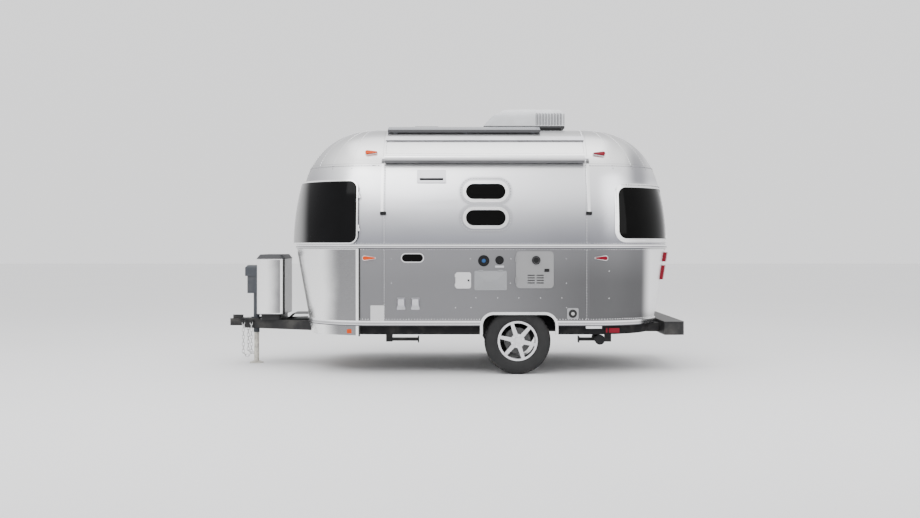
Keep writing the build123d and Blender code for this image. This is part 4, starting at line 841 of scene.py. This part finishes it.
make_lugs("lugs_left", -1, "wheel_spin_left")
make_lugs("lugs_right", 1, "wheel_spin_right")


# Lamps: each is a copy of its solid, with a coloured lens above the pale base
LENS_RISE = 0.0095
RED_FROM_X = 0.3


def make_lamps():
    """The marker lamps, amber in front and red behind."""
    bm = bmesh.new()
    bm.from_mesh(nodes["marker_lamps"].data)
    bmesh.ops.remove_doubles(bm, verts=bm.verts, dist=1e-5)
    for face in bm.faces:
        centre = face.calc_center_median()
        height = fixed_skin.find_nearest(centre)[3]
        lens = 2 if centre.x > RED_FROM_X else 1
        face.material_index = lens if height > LENS_RISE else 0
    made = piece(bm, "lamp_lenses", [bright, amber_lens, red_lens], "caravan")
    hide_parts("marker_lamps")


make_lamps()


# Plates and small fittings of the street side
def plate(name, x, z, width, height, radius, thickness, out, material, body, slot):
    """A thin rounded plate on the flat wall, its back a little inside what carries it."""
    bm = bmesh.new()
    bmesh.ops.create_grid(bm, x_segments=1, y_segments=1, size=0.5)
    bmesh.ops.scale(bm, vec=(width, height, 1), verts=bm.verts)
    bmesh.ops.bevel(bm, geom=bm.verts[:], offset=radius, segments=6, profile=0.5, affect="VERTICES",
                    material=-1)
    lifted = bmesh.ops.extrude_face_region(bm, geom=bm.faces[:])
    top = [item for item in lifted["geom"] if isinstance(item, bmesh.types.BMVert)]
    bmesh.ops.translate(bm, vec=(0, 0, thickness), verts=top)
    bmesh.ops.recalc_face_normals(bm, faces=bm.faces)
    place = Matrix.Translation((x, -(WALL_Y + out), z)) @ Matrix.Rotation(math.radians(90), 4, "X")
    bmesh.ops.transform(bm, matrix=place, verts=bm.verts)
    piece(bm, name, [material], body)


def ring(name, x, z, radius, tube, out, material, body):
    """A round ring on the flat wall."""
    bm = bmesh.new()
    upright = Matrix.Rotation(math.radians(90), 4, "X")
    bmesh.ops.create_circle(bm, segments=10, radius=tube)
    bmesh.ops.rotate(bm, cent=(0, 0, 0), matrix=upright.to_3x3(), verts=bm.verts)
    bmesh.ops.translate(bm, vec=(radius, 0, 0), verts=bm.verts)
    bmesh.ops.spin(bm, geom=bm.verts[:] + bm.edges[:], cent=(0, 0, 0), axis=(0, 0, 1), angle=math.tau,
                   steps=40, use_merge=True)
    bmesh.ops.remove_doubles(bm, verts=bm.verts, dist=1e-5)
    bmesh.ops.recalc_face_normals(bm, faces=bm.faces)
    place = Matrix.Translation((x, -WALL_Y - out, z)) @ upright
    bmesh.ops.transform(bm, matrix=place, verts=bm.verts)
    piece(bm, name, [material], body, True)


# Plates of one finish, body and slot, each with its name, centre x and z, width, height, corner radius,
# thickness, and how far its back lies outside the flat wall
PLATES = [
    (bright, "caravan", "bright_trim", [
        ("badge_plate", -0.37, 1.197, 0.236, 0.098, 0.048, 0.004, 0.0),
        ("frame_label", 1.493, 0.484, 0.164, 0.028, 0.003, 0.002, -0.041),
    ]),
    (glass, "caravan", "black_plastic", [
        ("badge_face", -0.37, 1.197, 0.216, 0.078, 0.038, 0.0052, 0.0),
    ]),
    (red_lens, "caravan", "red_lens", [
        ("frame_reflector", 1.701, 0.452, 0.108, 0.048, 0.006, 0.006, -0.041),
        ("frame_reflector_small", 1.624, 0.452, 0.016, 0.048, 0.004, 0.006, -0.041),
    ]),
    (amber_lens, "caravan", "lamp_plastic", [
        ("front_reflector", -0.996, 0.443, 0.1, 0.042, 0.006, 0.006, -0.045),
    ]),
    (black_plastic, "caravan", "black_plastic", [
        ("vent_slot", -0.177, 2.008, 0.244, 0.0232, 0.006, 0.002, -0.078),
        ("arm_foot_front", -0.672, 1.655, 0.062, 0.034, 0.006, 0.034, -0.031),
        ("arm_foot_rear", 1.440, 1.655, 0.062, 0.034, 0.006, 0.034, -0.031),
    ]),
    (black_plastic, "heater", "black_plastic", [
        ("heater_outlet", 0.896, 1.174, 0.066, 0.066, 0.0329, 0.001, 0.0145),
        ("heater_latch", 1.006, 1.07, 0.052, 0.032, 0.005, 0.004, 0.0115),
    ]),
    (black_plastic, "hatch", "black_plastic", [
        ("hatch_lock", 0.204, 0.967, 0.020, 0.020, 0.0098, 0.002, 0.0155),
    ]),
    (satin, "caravan", "bright_trim", [
        ("power_label", 0.522, 1.108, 0.09, 0.02, 0.003, 0.0012, 0.0),
    ]),
    (white_plastic, "caravan", "white_plastic", [
        ("blank_label", -0.73, 0.625, 0.14, 0.17, 0.006, 0.001, 0.0),
    ]),
]
for material, body, slot, rows in PLATES:
    for row in rows:
        plate(*row, material, body, slot)
ring("heater_ring", 0.896, 1.174, 0.038, 0.006, 0.022, black_plastic, "heater")


# Studio
def make_floor():
    """A plain pale floor."""
    bm = bmesh.new()
    bmesh.ops.create_grid(bm, x_segments=1, y_segments=1, size=60)
    mesh = bpy.data.meshes.new("floor")
    bm.to_mesh(mesh)
    bm.free()
    made = bpy.data.objects.new("floor", mesh)
    bpy.context.scene.collection.objects.link(made)
    paint = Paint("pale_floor")
    tone = paint.mix(paint.noise(0.4, 3), (0.80, 0.80, 0.81), (0.83, 0.83, 0.84))
    mesh.materials.append(paint.finish(tone, 0.7))


def make_light(name, place, aim, size, energy):
    """A soft rectangular light, turned to what it aims at."""
    lamp = bpy.data.lights.new(name, "AREA")
    lamp.shape = "RECTANGLE"
    lamp.size, lamp.size_y = size
    lamp.energy = energy
    made = bpy.data.objects.new(name, lamp)
    made.location = place
    made.rotation_euler = (Vector(aim) - Vector(place)).to_track_quat("-Z", "Y").to_euler()
    bpy.context.scene.collection.objects.link(made)


def make_world():
    """An even pale surrounding, a little brighter above."""
    world = bpy.data.worlds.new("studio")
    world.use_nodes = True
    tree = world.node_tree
    tree.nodes.clear()
    kinds = ("TexCoord", "SeparateXYZ", "ValToRGB", "Background", "OutputWorld")
    place, split, ramp, glow, out = (tree.nodes.new("ShaderNode" + kind) for kind in kinds)
    low, high = ramp.color_ramp.elements
    low.position, low.color = 0.0, (0.92, 0.92, 0.93, 1)
    high.position, high.color = 0.7, (1, 1, 1, 1)
    glow.inputs["Strength"].default_value = 1.5
    tree.links.new(place.outputs["Generated"], split.inputs[0])
    tree.links.new(split.outputs["Z"], ramp.inputs[0])
    tree.links.new(ramp.outputs["Color"], glow.inputs["Color"])
    tree.links.new(glow.outputs[0], out.inputs["Surface"])
    bpy.context.scene.world = world


def make_camera():
    """The photograph's camera, level and square to the street side."""
    lens = bpy.data.cameras.new("camera")
    lens.sensor_width = SENSOR
    lens.lens = SENSOR / 2 / math.tan(math.radians(VIEW_ANGLE / 2))
    lens.shift_y = -HORIZON_DROP / PHOTO_WIDTH
    lens.clip_end = 200
    made = bpy.data.objects.new("camera", lens)
    made.location = CAMERA_PLACE
    made.rotation_euler = (math.radians(90), 0, 0)
    bpy.context.scene.collection.objects.link(made)
    bpy.context.scene.camera = made


make_floor()
make_light("key", (-3, -7, 7), (0, 0, 1.2), (7, 4), 420)
make_light("fill", (6, -6, 4), (0.5, 0, 1), (4, 4), 140)
make_light("top", (0, 0, 8), (0, 0, 0), (8, 6), 300)
make_world()
make_camera()
